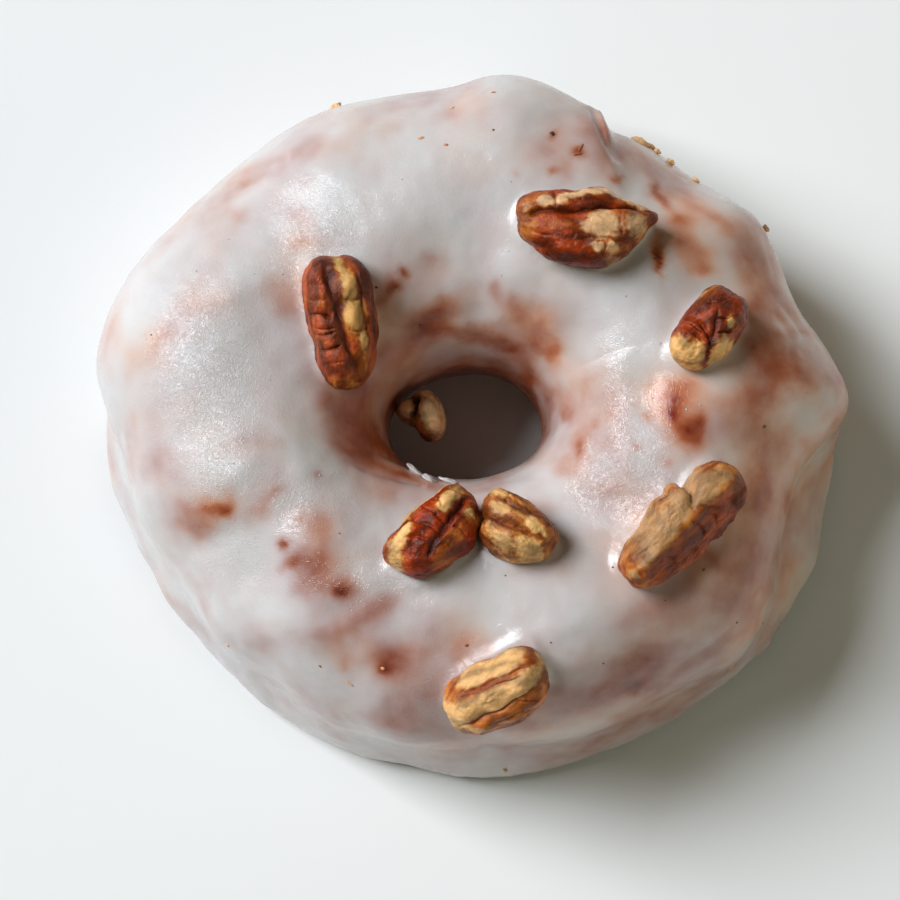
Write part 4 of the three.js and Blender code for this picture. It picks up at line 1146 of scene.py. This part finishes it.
def makeDoughMaterial():
    material, tree, shader = newMaterial("friedCrust")
    mottle = noiseOf(tree, doughCrust["mottleSize"], 6, 0.62)
    fine = noiseOf(tree, doughCrust["fineSize"], 5, 0.65)
    color = colorRamp(tree, mottle, doughCrust["colors"])
    pores = between(tree, noiseOf(tree, doughCrust["poreSize"], 2, 0.5), *doughCrust["poreEdge"])
    setInput(tree, shader, "Base Color", blend(tree, pores, linear(*doughCrust["poreColor"]), color))
    setInput(tree, shader, "Roughness", compute(tree, "MULTIPLY_ADD", fine, *doughCrust["roughness"]))
    normal = bump(tree, fine, doughCrust["fineHeight"])
    setInput(tree, shader, "Normal", bump(tree, pores, doughCrust["poreHeight"], 1.0, normal))
    setScatter(tree, shader, *doughCrust["scatter"])
    return material


def makeDough():
    # The ring's own skin under the glaze, then round the base, with a browned crust's lumps where it is bare.
    lipEnd = -sectionBelow(foot["lip"])
    holeEnd = math.pi + sectionBelow(ring["holeEdge"])
    over = np.linspace(lipEnd, holeEnd, doughCrust["overRows"])
    under = np.linspace(holeEnd, 2 * math.pi + lipEnd, doughCrust["underRows"] + 2)[1:-1]
    section = np.concatenate([over, under])
    turns, sections = np.meshgrid(roundAngles(doughCrust["turns"]), section)
    points = skinPoint(turns, sections, ring["glazeThickness"] + ring["gap"], False)
    noise = makeNoise(doughCrust["seed"])
    rise = sum(height * noise(points / size) for size, height in doughCrust["crust"])
    bare = np.arange(len(section)) >= len(over)
    points = points + gridNormals(points, True) * (rise * bare[:, None])[..., None]
    points[..., 2] = np.maximum(points[..., 2], 0)
    piece = makeRingPiece("doughCrust", points, {}, makeDoughMaterial())
    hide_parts("dough_ring")


makeDough()
print("dough made")


# The nuts

carving = {
    "fade": (0.1, 0.7),  # sines of the section over which furrows and lumps come in
    "swaySize": 1.3,
    "unevenSize": 2.2,
    "ends": (-0.02, 0.16),  # shares of a furrow's length over which its ends taper
    "endWidth": 0.5,  # what is left of its width, depth and shade at its ends
    "endDepth": 0.35,
    "endShade": 0.4,
    "widths": (0.85, 0.4),  # its width over the listed one, and how far that wavers
    "narrowest": 0.12,
    "shape": 1.5,  # power of a furrow's cross section
    "shadeShape": 1.6,
    "fullShade": 0.75,  # depth from which a furrow's painted shade is as dark as can be
    "lean": (0.35, 0.35, 1.0),
    "leanUp": 0.4,
    "highest": 0.35,  # share of the nut's height that a lump may add
}

nutLook = {
    "fineSize": 0.5,
    "fineHeight": 0.16,
    "speckleSize": 0.22,
    "speckleHeight": 0.03,
    "skinTones": [(0.1, 0.72, 0), (0.5, 1.0, 0), (0.9, 1.2, 6)],
    "meatTones": [(0.1, 0.84, 0), (0.5, 1.0, 0), (0.9, 1.08, 4)],
    "amber": [(0.2, (136, 66, 14)), (0.55, (174, 98, 30)), (0.9, (202, 132, 56))],
    "fringe": (0.1, 0.5, 0.0, 0.8),  # of amber round the pale meat: from, to, and the shares there
    "meatEdge": (0.34, 0.76),
    "freckles": (0.60, 0.72, 0.0, 0.25),
    "freckleTone": 0.8,  # of the skin's colour
    "ragged": (0.7, -0.35),  # share of the fine noise in the edges between them, and its middle taken off
    "deep": (0.25, 1.0, 0.0, 0.85),
    "roughness": (0.3, 0.16),  # share of the fine noise, and the least
    "specular": 0.25,
    "scatter": (0.12, (1.0, 0.6, 0.3), 0.5),  # weight, reach of red, green and blue, and depth in millimetres
}


def nutBody(nut, turn, section):
    # A lobed outline filled out to a rounded body. The height is a superellipse of the section's angle, and
    # what stands over a facet is pressed down to it, less a little at the facet's edge.
    c = np.cos(section)
    s = np.sin(section)
    radius = nutOutline(nut, turn) * np.abs(c) ** (2 / nut["section"])
    u = radius * np.cos(turn)
    v = radius * np.sin(turn) * (1 + nut["taper"] * u / nut["length"])
    w = nut["height"] * signedPower(s, 2 / nut["section"])
    for acrossU, acrossV, phase, height in nutFinish["waves"]:
        w = w + height * np.sin(acrossU * u + acrossV * v + phase) * s
    for direction, start, top, slope in nut.get("facets", []):
        way = math.radians(direction)
        face = top - slope * np.maximum(u * math.cos(way) + v * math.sin(way) - start, 0)
        over = np.maximum(w - face, 0)
        w = w - over ** 2 / (over + nutFinish["facetEdge"])
    return np.stack([u, v, w], axis=-1)


def nutCarving(nut, own, s, noise):
    # Furrows sink along their paths, narrower and shallower towards their ends, and lumps swell. Both fade
    # out down the nut's side. Gives the rise and the share of furrow darkness at each place: the groove's own
    # colour, with painted shade that deepens with the furrow's depth. The numbers added to the points keep
    # the noises apart.
    bend = nut["sway"] * np.stack([noise(own / carving["swaySize"] + shift) for shift in (5, 9)], axis=-1)
    u = own[..., 0] + bend[..., 0]
    v = own[..., 1] + bend[..., 1]
    upper = smooth(*carving["fade"], s)
    rise = np.zeros(u.shape)
    furrowDarkAndShade = np.zeros(u.shape)
    for place in nut["lumps"]:
        rise += place[5] * spot(u, v, place) * upper
    steady, wavering = carving["widths"]
    uneven = steady + wavering * noise(own / carving["unevenSize"] + 3)
    for path, wide, depth in nut["furrows"]:
        away, share = pathDistance(u, v, path)
        ends = smooth(*carving["ends"], share) * smooth(*carving["ends"], 1 - share)
        left = {key: carving[key] + (1 - carving[key]) * ends for key in ("endWidth", "endDepth", "endShade")}
        width = np.maximum(wide * uneven * left["endWidth"], carving["narrowest"])
        profile = np.exp(-(away / width) ** carving["shape"])
        rise -= depth * profile * upper * left["endDepth"]
        # painted shade: the deeper the furrow, the darker
        shade = profile ** carving["shadeShape"] * upper * min(depth / carving["fullShade"], 1)
        furrowDarkAndShade = np.maximum(furrowDarkAndShade, shade * left["endShade"])
    return rise, furrowDarkAndShade


def filmShare(places, own, s, noise, wobble):  # the strongest of the spots at each place, with wavering edges
    u = own[..., 0] + wobble * noise(own / nutFinish["wobbleSize"] + 21)
    v = own[..., 1] + wobble * noise(own / nutFinish["wobbleSize"] + 27)
    total = np.zeros(u.shape)
    for place in places:
        total = np.maximum(total, place[5] * spot(u, v, place))
    return total * smooth(*nutFinish["filmFade"], s)


def toneRamp(tree, share, color, tones):  # darker and lighter tones of one colour: place, factor and addition
    return colorRamp(tree, share, [(place, tuple(color * factor + more)) for place, factor, more in tones])


def makeNutMaterial(name, nut):
    # Skin under an amber film under pale meat, each with its own grain, then freckles and the deep grooves,
    # whose dark colour carries painted shade in the furrows and on some sides.
    material, tree, shader = newMaterial(name)
    flesh = readAttribute(tree, "flesh")
    amber = readAttribute(tree, "amber")
    dark = readAttribute(tree, "dark")
    grain = readAttribute(tree, "grain")
    fine = noiseOf(tree, nutLook["fineSize"], 5, 0.65)
    speckle = noiseOf(tree, nutLook["speckleSize"], 2, 0.5)
    skin = np.array(nut["skin"])
    skinColor = toneRamp(tree, grain, skin, nutLook["skinTones"])
    meatColor = toneRamp(tree, grain, np.array(nut["meat"]), nutLook["meatTones"])
    amberColor = colorRamp(tree, grain, nutLook["amber"])
    edge = compute(tree, "MULTIPLY_ADD", fine, *nutLook["ragged"])
    color = blend(tree, compute(tree, "ADD", amber, edge, clamp=True), skinColor, amberColor)
    pale = compute(tree, "ADD", flesh, edge)
    color = blend(tree, between(tree, pale, *nutLook["fringe"]), color, amberColor)
    color = blend(tree, between(tree, pale, *nutLook["meatEdge"]), color, meatColor)
    freckle = linear(*(skin * nutLook["freckleTone"]))
    color = blend(tree, between(tree, speckle, *nutLook["freckles"]), color, freckle)
    deep = between(tree, compute(tree, "ADD", dark, edge), *nutLook["deep"])
    color = blend(tree, deep, color, linear(*nut["groove"]))
    setInput(tree, shader, "Base Color", color)
    setInput(tree, shader, "Roughness", compute(tree, "MULTIPLY_ADD", fine, *nutLook["roughness"]))
    normal = bump(tree, fine, nutLook["fineHeight"])
    setInput(tree, shader, "Normal", bump(tree, speckle, nutLook["speckleHeight"], 1.0, normal))
    setInput(tree, shader, "Specular IOR Level", nutLook["specular"])
    setScatter(tree, shader, *nutLook["scatter"])
    return material


def makeNut(name, nut, seed):
    # The body is carved along directions that lean upwards, roughened along its normals, and set in the
    # glaze: what would reach under the glaze is raised to it, and what stands over the ceiling is pressed
    # down.
    count = nutFinish["sections"]
    section = np.pi * (np.arange(1, count + 1) / (count + 1) - 0.5)
    turns, sections = np.meshgrid(roundAngles(nutFinish["turns"]), section)
    s = np.sin(sections)
    own = nutBody(nut, turns, sections)
    noise = makeNoise(seed)
    rise, furrowDarkAndShade = nutCarving(nut, own, s, noise)
    normals = gridNormals(own, False)
    lean = np.array(carving["lean"]) * normals + np.array([0, 0, carving["leanUp"]])
    lean /= np.linalg.norm(lean, axis=-1, keepdims=True)
    shaped = own + lean * np.minimum(rise, carving["highest"] * nut["height"])[..., None]
    folded = own * np.array(nutFinish["wrinkleStretch"]) + 40
    folds = 1 - 2 * np.abs(cloudy(noise, folded, nutFinish["wrinkleSize"], 3))
    bumps = nutFinish["wrinkle"] * (folds - 0.5) + nutFinish["pores"] * noise(own / nutFinish["poreSize"])
    bumps += nutFinish["uneven"] * noise(own / nutFinish["unevenSize"] + 50)
    shaped = shaped + normals * (bumps * smooth(1.0, 0.9, np.abs(s)))[..., None]
    poles = np.stack([shaped[0].mean(axis=0), shaped[-1].mean(axis=0)])
    points = np.concatenate([shaped.reshape(-1, 3), poles]) @ nut["axes"] + nut["centre"]
    if "middle" not in nut:
        low = np.concatenate([sections.ravel() < 0.1, [True, False]])
        bed = topHeight(points[low, 0], points[low, 1]) - nutFinish["sink"]
        points[low, 2] = np.maximum(points[low, 2], bed)
    above = np.maximum(points[:, 2] - nutFinish["ceiling"], 0)
    points[:, 2] -= (1 - nutFinish["press"]) * above
    films = {key: filmShare(nut[key], own, s, noise, wobble) for key, wobble in nutFinish["wobble"].items()}
    # the furrows' groove colour and painted shade go into the dark spots
    films["dark"] = np.maximum(films["dark"], furrowDarkAndShade)
    attributes = {key: np.append(share, [0.0, 0.0]) for key, share in films.items()}
    stretched = own * np.array(nutFinish["grainStretch"]) + 60
    grain = 0.5 + nutFinish["grain"] * cloudy(noise, stretched, nutFinish["grainSize"], 4)
    attributes["grain"] = np.append(grain, [0.5, 0.5])
    columns = nutFinish["turns"]
    quads = gridQuads(count, columns, False)
    material = makeNutMaterial(name, nut)
    piece = makePiece(name + "_nut", points, quads, poleTriangles(count, columns), attributes, material)
    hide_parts(name)


for number, (name, nut) in enumerate(pecans.items()):
    makeNut(name, nut, 101 + number)
print("nuts made")


# Small things in and on the glaze: flecks of crust, flakes at the edge, bubbles and beads

crumbs = {
    # x, y, half sizes along and across, turn, tint: 0 orange, 1 dark brown
    "flecks": [
        (-6.8, 33.6, 0.45, 0.18, 10, 0.2), (-2.9, 38.0, 0.3, 0.2, 40, 0.1),
        (-3.7, 32.4, 0.3, 0.16, 0, 0.3), (2.2, 39.8, 0.3, 0.15, 0, 0.3), (2.2, 34.2, 0.15, 0.15, 0, 0.6),
        (9.8, 34.2, 0.3, 0.3, 0, 1.0), (-31.6, -29.8, 0.3, 0.2, 60, 0.0),
        (-19.5, -33.0, 0.2, 0.16, 0, 0.5), (-15.8, -35.2, 0.75, 0.13, -45, 0.1),
        (-11.4, -33.6, 0.3, 0.25, 0, 0.2), (33.0, -32.3, 0.5, 0.28, 100, 0.2),
        (36.8, -27.0, 0.25, 0.2, 0, 0.3), (3.8, -45.0, 0.5, 0.25, -40, 0.2),
        (-12.5, 14.3, 0.18, 0.14, 0, 1.0), (28.3, -21.2, 0.2, 0.15, 0, 0.5),
        (18.4, 28.4, 0.25, 0.12, 80, 0.4), (36.0, -3.3, 0.3, 0.2, 0, 0.7), (-7.0, 10.3, 0.15, 0.1, 0, 0.8),
        (32.9, -27.3, 0.14, 0.1, 0, 1.0), (17.0, -21.5, 0.12, 0.1, 0, 0.8),
        (-1.0, -30.6, 0.25, 0.2, 0, 0.5), (13.4, 32.2, 0.7, 0.16, 60, 0.5),
        (12.7, 31.0, 0.6, 0.14, 20, 0.6), (23.4, -25.2, 0.12, 0.1, 0, 0.7),
    ],
    # turn round the ring in degrees, section in degrees, half sizes along, across and thick, tint
    "flakes": [
        (58.6, 14, 1.1, 0.5, 0.5, 0.0), (57.0, 10, 0.7, 0.4, 0.45, 0.0), (55.4, 13, 0.5, 0.35, 0.4, 0.0),
        (52.4, 14, 0.6, 0.35, 0.3, 0.05), (47.0, 15, 0.5, 0.3, 0.25, 0.1), (33.4, 12, 0.5, 0.4, 0.4, 0.2),
        (112.5, 14, 0.75, 0.4, 0.5, 0.0),
    ],
    # Scraps of set sugar on the hole's rim: turn and section in degrees, half sizes along, across and thick
    "scraps": [
        (226, 158, 1.5, 0.5, 0.3), (238, 155, 0.9, 0.9, 0.25), (252, 158, 1.1, 0.4, 0.3),
    ],
    "bubbles": [
        (26.0, -1.5, 0.34), (21.9, 0.0, 0.26), (24.4, -4.9, 0.28), (23.7, -4.2, 0.22), (23.0, 6.9, 0.3),
        (28.1, -1.2, 0.3), (-19.4, -9.8, 0.36), (-25.4, 2.1, 0.2), (-27.4, -0.8, 0.18), (-30.2, -8.4, 0.22),
        (-28.9, -8.4, 0.22), (-31.2, 20.6, 0.2), (-35.2, 16.2, 0.3), (-24.2, 15.6, 0.26), (-27.7, 15.6, 0.18),
        (9.4, -30.6, 0.2), (3.2, 15.8, 0.2), (4.4, 18.8, 0.16), (-15.8, -20.2, 0.16), (-17.6, -14.6, 0.2),
        (-9.2, -21.9, 0.16), (12.9, -11.0, 0.2), (30.2, -7.2, 0.18), (19.0, 13.0, 0.2), (8.0, 24.0, 0.14),
    ],
    "random": {"bubbles": 26, "flecks": 10, "seed": 7},
    "fleckReach": (16, 42),  # how far from the middle the drawn ones lie
    "fleckSizes": (0.06, 0.16),
    "fleckTints": (0.2, 1.0),
    "fleckAcross": 0.7,  # width over length of the drawn ones
    "fleckThick": 0.12,
    "bubbleReach": (17, 41),
    "bubbleSizes": (0.06, 0.15),
    "bubbleShape": (0.5, 0.5, 0.2),  # half sizes over the listed size
    "flakeInset": 0.1,
    "heightCounts": 0.02,  # how far away one of height makes up for, where two points lie over a place
    "colors": [(0.0, (238, 190, 136)), (0.35, (182, 102, 48)), (0.7, (122, 56, 26)), (1.0, (56, 24, 14))],
    "roughness": 0.55,
    "grain": (0.3, 0.08),  # size and height
    "uneven": 0.5,  # how far the fine noise changes a crumb's tint
    "beadColors": [(0.3, (170, 150, 144)), (0.7, (190, 176, 172))],
    "beadRoughness": 0.14,
}


def upAt(x, y, step=0.2):  # the outward direction of the glaze's top, from its heights a step to each side
    slopeX = (topHeight(x + step, y) - topHeight(x - step, y)) / (2 * step)
    slopeY = (topHeight(x, y + step) - topHeight(x, y - step)) / (2 * step)
    up = np.stack([-slopeX, -slopeY, np.ones_like(x)], axis=-1)
    return up / np.linalg.norm(up, axis=-1, keepdims=True)


def onTop(places):  # the made glaze's own point nearest each x and y, the higher of two, and the way up there
    flat = glazeTop.reshape(-1, 3)
    away = np.hypot(flat[:, 0] - places[:, :1], flat[:, 1] - places[:, 1:2])
    points = flat[np.argmin(away - crumbs["heightCounts"] * flat[:, 2], axis=1)]
    return points, upAt(points[:, 0], points[:, 1])


def onSide(places, inset):  # the skin's point at a turn and a section in degrees, and the way out there
    turn, section = np.radians(places[:, :2]).T
    points = skinPoint(turn, section, inset, False)
    ups = skinPoint(turn, section, -1.0, False) - points
    return points, ups / np.linalg.norm(ups, axis=-1, keepdims=True)


def lyingAxes(ups, sizes, turns):  # a lying blob's axes: along its turn, across and up, at their sizes
    turn = np.radians(turns)
    heading = np.stack([np.cos(turn), np.sin(turn), 0 * turn], axis=-1)
    side = np.cross(ups, heading)
    side /= np.linalg.norm(side, axis=-1, keepdims=True)
    return np.stack([np.cross(side, ups), side, ups], axis=1) * sizes[..., None]


def drawPlaces(draw, count, reach, sizes):  # seeded places round the ring: x, y and a size
    turn = draw.uniform(0, 2 * np.pi, count)
    rho = draw.uniform(*reach, count)
    return [rho * np.cos(turn), rho * np.sin(turn), draw.uniform(*sizes, count)]


def makeCrumbMaterial():
    material, tree, shader = newMaterial("crustCrumb")
    tint = readAttribute(tree, "tint")
    size, height = crumbs["grain"]
    fine = noiseOf(tree, size, 4, 0.6)
    least = compute(tree, "SUBTRACT", tint, crumbs["uneven"] / 2)
    share = compute(tree, "MULTIPLY_ADD", fine, crumbs["uneven"], least)
    setInput(tree, shader, "Base Color", colorRamp(tree, share, crumbs["colors"]))
    setInput(tree, shader, "Roughness", crumbs["roughness"])
    setInput(tree, shader, "Normal", bump(tree, fine, height))
    return material


def makeBeadMaterial():
    material, tree, shader = newMaterial("glazeBead")
    fine = noiseOf(tree, 0.4, 3, 0.5)
    setInput(tree, shader, "Base Color", colorRamp(tree, fine, crumbs["beadColors"]))
    setInput(tree, shader, "Roughness", crumbs["beadRoughness"])
    return material


def makeFlecks(draw, material):
    count = crumbs["random"]["flecks"]
    x, y, size = drawPlaces(draw, count, crumbs["fleckReach"], crumbs["fleckSizes"])
    turn = draw.uniform(0, 180, count)
    tint = draw.uniform(*crumbs["fleckTints"], count)
    drawn = np.stack([x, y, size, size * crumbs["fleckAcross"], turn, tint], axis=-1)
    flecks = np.concatenate([np.array(crumbs["flecks"]), drawn])
    points, ups = onTop(flecks)
    sizes = np.insert(flecks[:, 2:4], 2, crumbs["fleckThick"], axis=1)
    axes = lyingAxes(ups, sizes, flecks[:, 4])
    piece = makeBlobs("crustFlecks", points, axes, flecks[:, 5], material, 7, 12, 0.5, 61)


def makeFlakes(material):
    flakes = np.array(crumbs["flakes"])
    points, ups = onSide(flakes, crumbs["flakeInset"])
    axes = lyingAxes(ups, flakes[:, 2:5], flakes[:, 0] + 90)
    piece = makeBlobs("edgeFlakes", points, axes, flakes[:, 5], material, 11, 18, 0.6, 62)


def makeScraps(material):
    scraps = np.array(crumbs["scraps"])
    points, ups = onSide(scraps, 0.0)
    axes = lyingAxes(ups, scraps[:, 2:5], scraps[:, 0] + 90)
    piece = makeBlobs("glazeScraps", points, axes, 0 * scraps[:, 0], material, 11, 18, 0.6, 64)


def makeBubbles(draw, material):
    drawn = drawPlaces(draw, crumbs["random"]["bubbles"], crumbs["bubbleReach"], crumbs["bubbleSizes"])
    bubbles = np.concatenate([np.array(crumbs["bubbles"]), np.stack(drawn, axis=-1)])
    points, ups = onTop(bubbles)
    sizes = bubbles[:, 2:] * np.array(crumbs["bubbleShape"])
    axes = lyingAxes(ups, sizes, 0 * bubbles[:, 0])
    piece = makeBlobs("glazeBubbles", points, axes, 0 * bubbles[:, 0], material, 7, 14, 0.08, 63)


smallDraw = np.random.default_rng(crumbs["random"]["seed"])
crumbMaterial = makeCrumbMaterial()
makeFlecks(smallDraw, crumbMaterial)
makeFlakes(crumbMaterial)
makeScraps(glazeMaterial)
makeBubbles(smallDraw, makeBeadMaterial())
print("small things made")


# Floor, light and camera

stage = {
    "floor": (235, 236, 235),
    "floorHalf": 3.0,  # metres
    "floorRoughness": 0.6,
    "ambient": 0.066,
    "ambientColor": (0.98, 0.95, 0.72),
    "lit": (0.0, 0.0, 15.0),  # the place that both lamps face
    "lamps": {
        "light": {
            "azimuth": 155.0, "elevation": 43.0, "distance": 2600.0, "size": (1200.0, 1700.0),
            "power": 95.0, "color": (0.955, 0.985, 1.03),
        },
        "fill": {
            "azimuth": -25.0, "elevation": 22.0, "distance": 900.0, "size": (1100.0, 600.0),
            "power": 2.2, "color": (0.96, 0.96, 0.74),
        },
    },
    "camera": {
        "azimuth": -90.0, "elevation": 82.0, "distance": 420.0, "target": (-3.16, -4.01, 15.0),
        "pixel": 0.13,  # millimetres across one of the picture's pixels, at the target
        "pixels": 900,
        "sensor": 36.0,
        "clip": (0.01, 20.0),  # metres
    },
}


def makeFloor():
    half = stage["floorHalf"]
    corners = [(-half, -half, 0), (half, -half, 0), (half, half, 0), (-half, half, 0)]
    mesh = bpy.data.meshes.new("floor")
    mesh.from_pydata(corners, [], [(0, 1, 2, 3)])
    floor = placeObject("floor", mesh)
    material, tree, shader = newMaterial("paleSurface")
    setInput(tree, shader, "Base Color", linear(*stage["floor"]))
    setInput(tree, shader, "Roughness", stage["floorRoughness"])
    mesh.materials.append(material)


def standOff(thing, settings, target):  # sets a thing at its distance and direction from the target
    azimuth = math.radians(settings["azimuth"])
    elevation = math.radians(settings["elevation"])
    flat = math.cos(elevation)
    way = Vector((math.cos(azimuth) * flat, math.sin(azimuth) * flat, math.sin(elevation)))
    thing.location = way * settings["distance"] * mm + target
    return thing


def face(thing, target):
    thing.rotation_euler = (target - thing.location).to_track_quat("-Z", "Y").to_euler()


def makeLamp(name, settings):  # a rectangle of light
    light = bpy.data.lights.new(name, "AREA")
    light.shape = "RECTANGLE"
    light.size, light.size_y = [side * mm for side in settings["size"]]
    light.energy = settings["power"]
    light.color = settings["color"]
    lamp = standOff(placeObject(name, light), settings, Vector((0, 0, 0)))
    face(lamp, Vector(stage["lit"]) * mm)


def makeWorld():
    world = bpy.data.worlds.new("softRoom")
    world.use_nodes = True
    background = world.node_tree.nodes["Background"]
    background.inputs["Color"].default_value = (*stage["ambientColor"], 1.0)
    background.inputs["Strength"].default_value = stage["ambient"]
    bpy.context.scene.world = world


def makeCamera(settings):  # its lens shows the picture's width at the target's distance
    data = bpy.data.cameras.new("camera")
    data.sensor_width = settings["sensor"]
    data.lens = settings["sensor"] * settings["distance"] / (settings["pixels"] * settings["pixel"])
    data.clip_start, data.clip_end = settings["clip"]
    target = Vector(settings["target"]) * mm
    camera = standOff(placeObject("camera", data), settings, target)
    face(camera, target)
    bpy.context.scene.camera = camera


makeFloor()
for name, settings in stage["lamps"].items():
    makeLamp(name, settings)
makeWorld()
makeCamera(stage["camera"])
bpy.context.scene.view_settings.view_transform = "Standard"
print("stage, light and camera set")
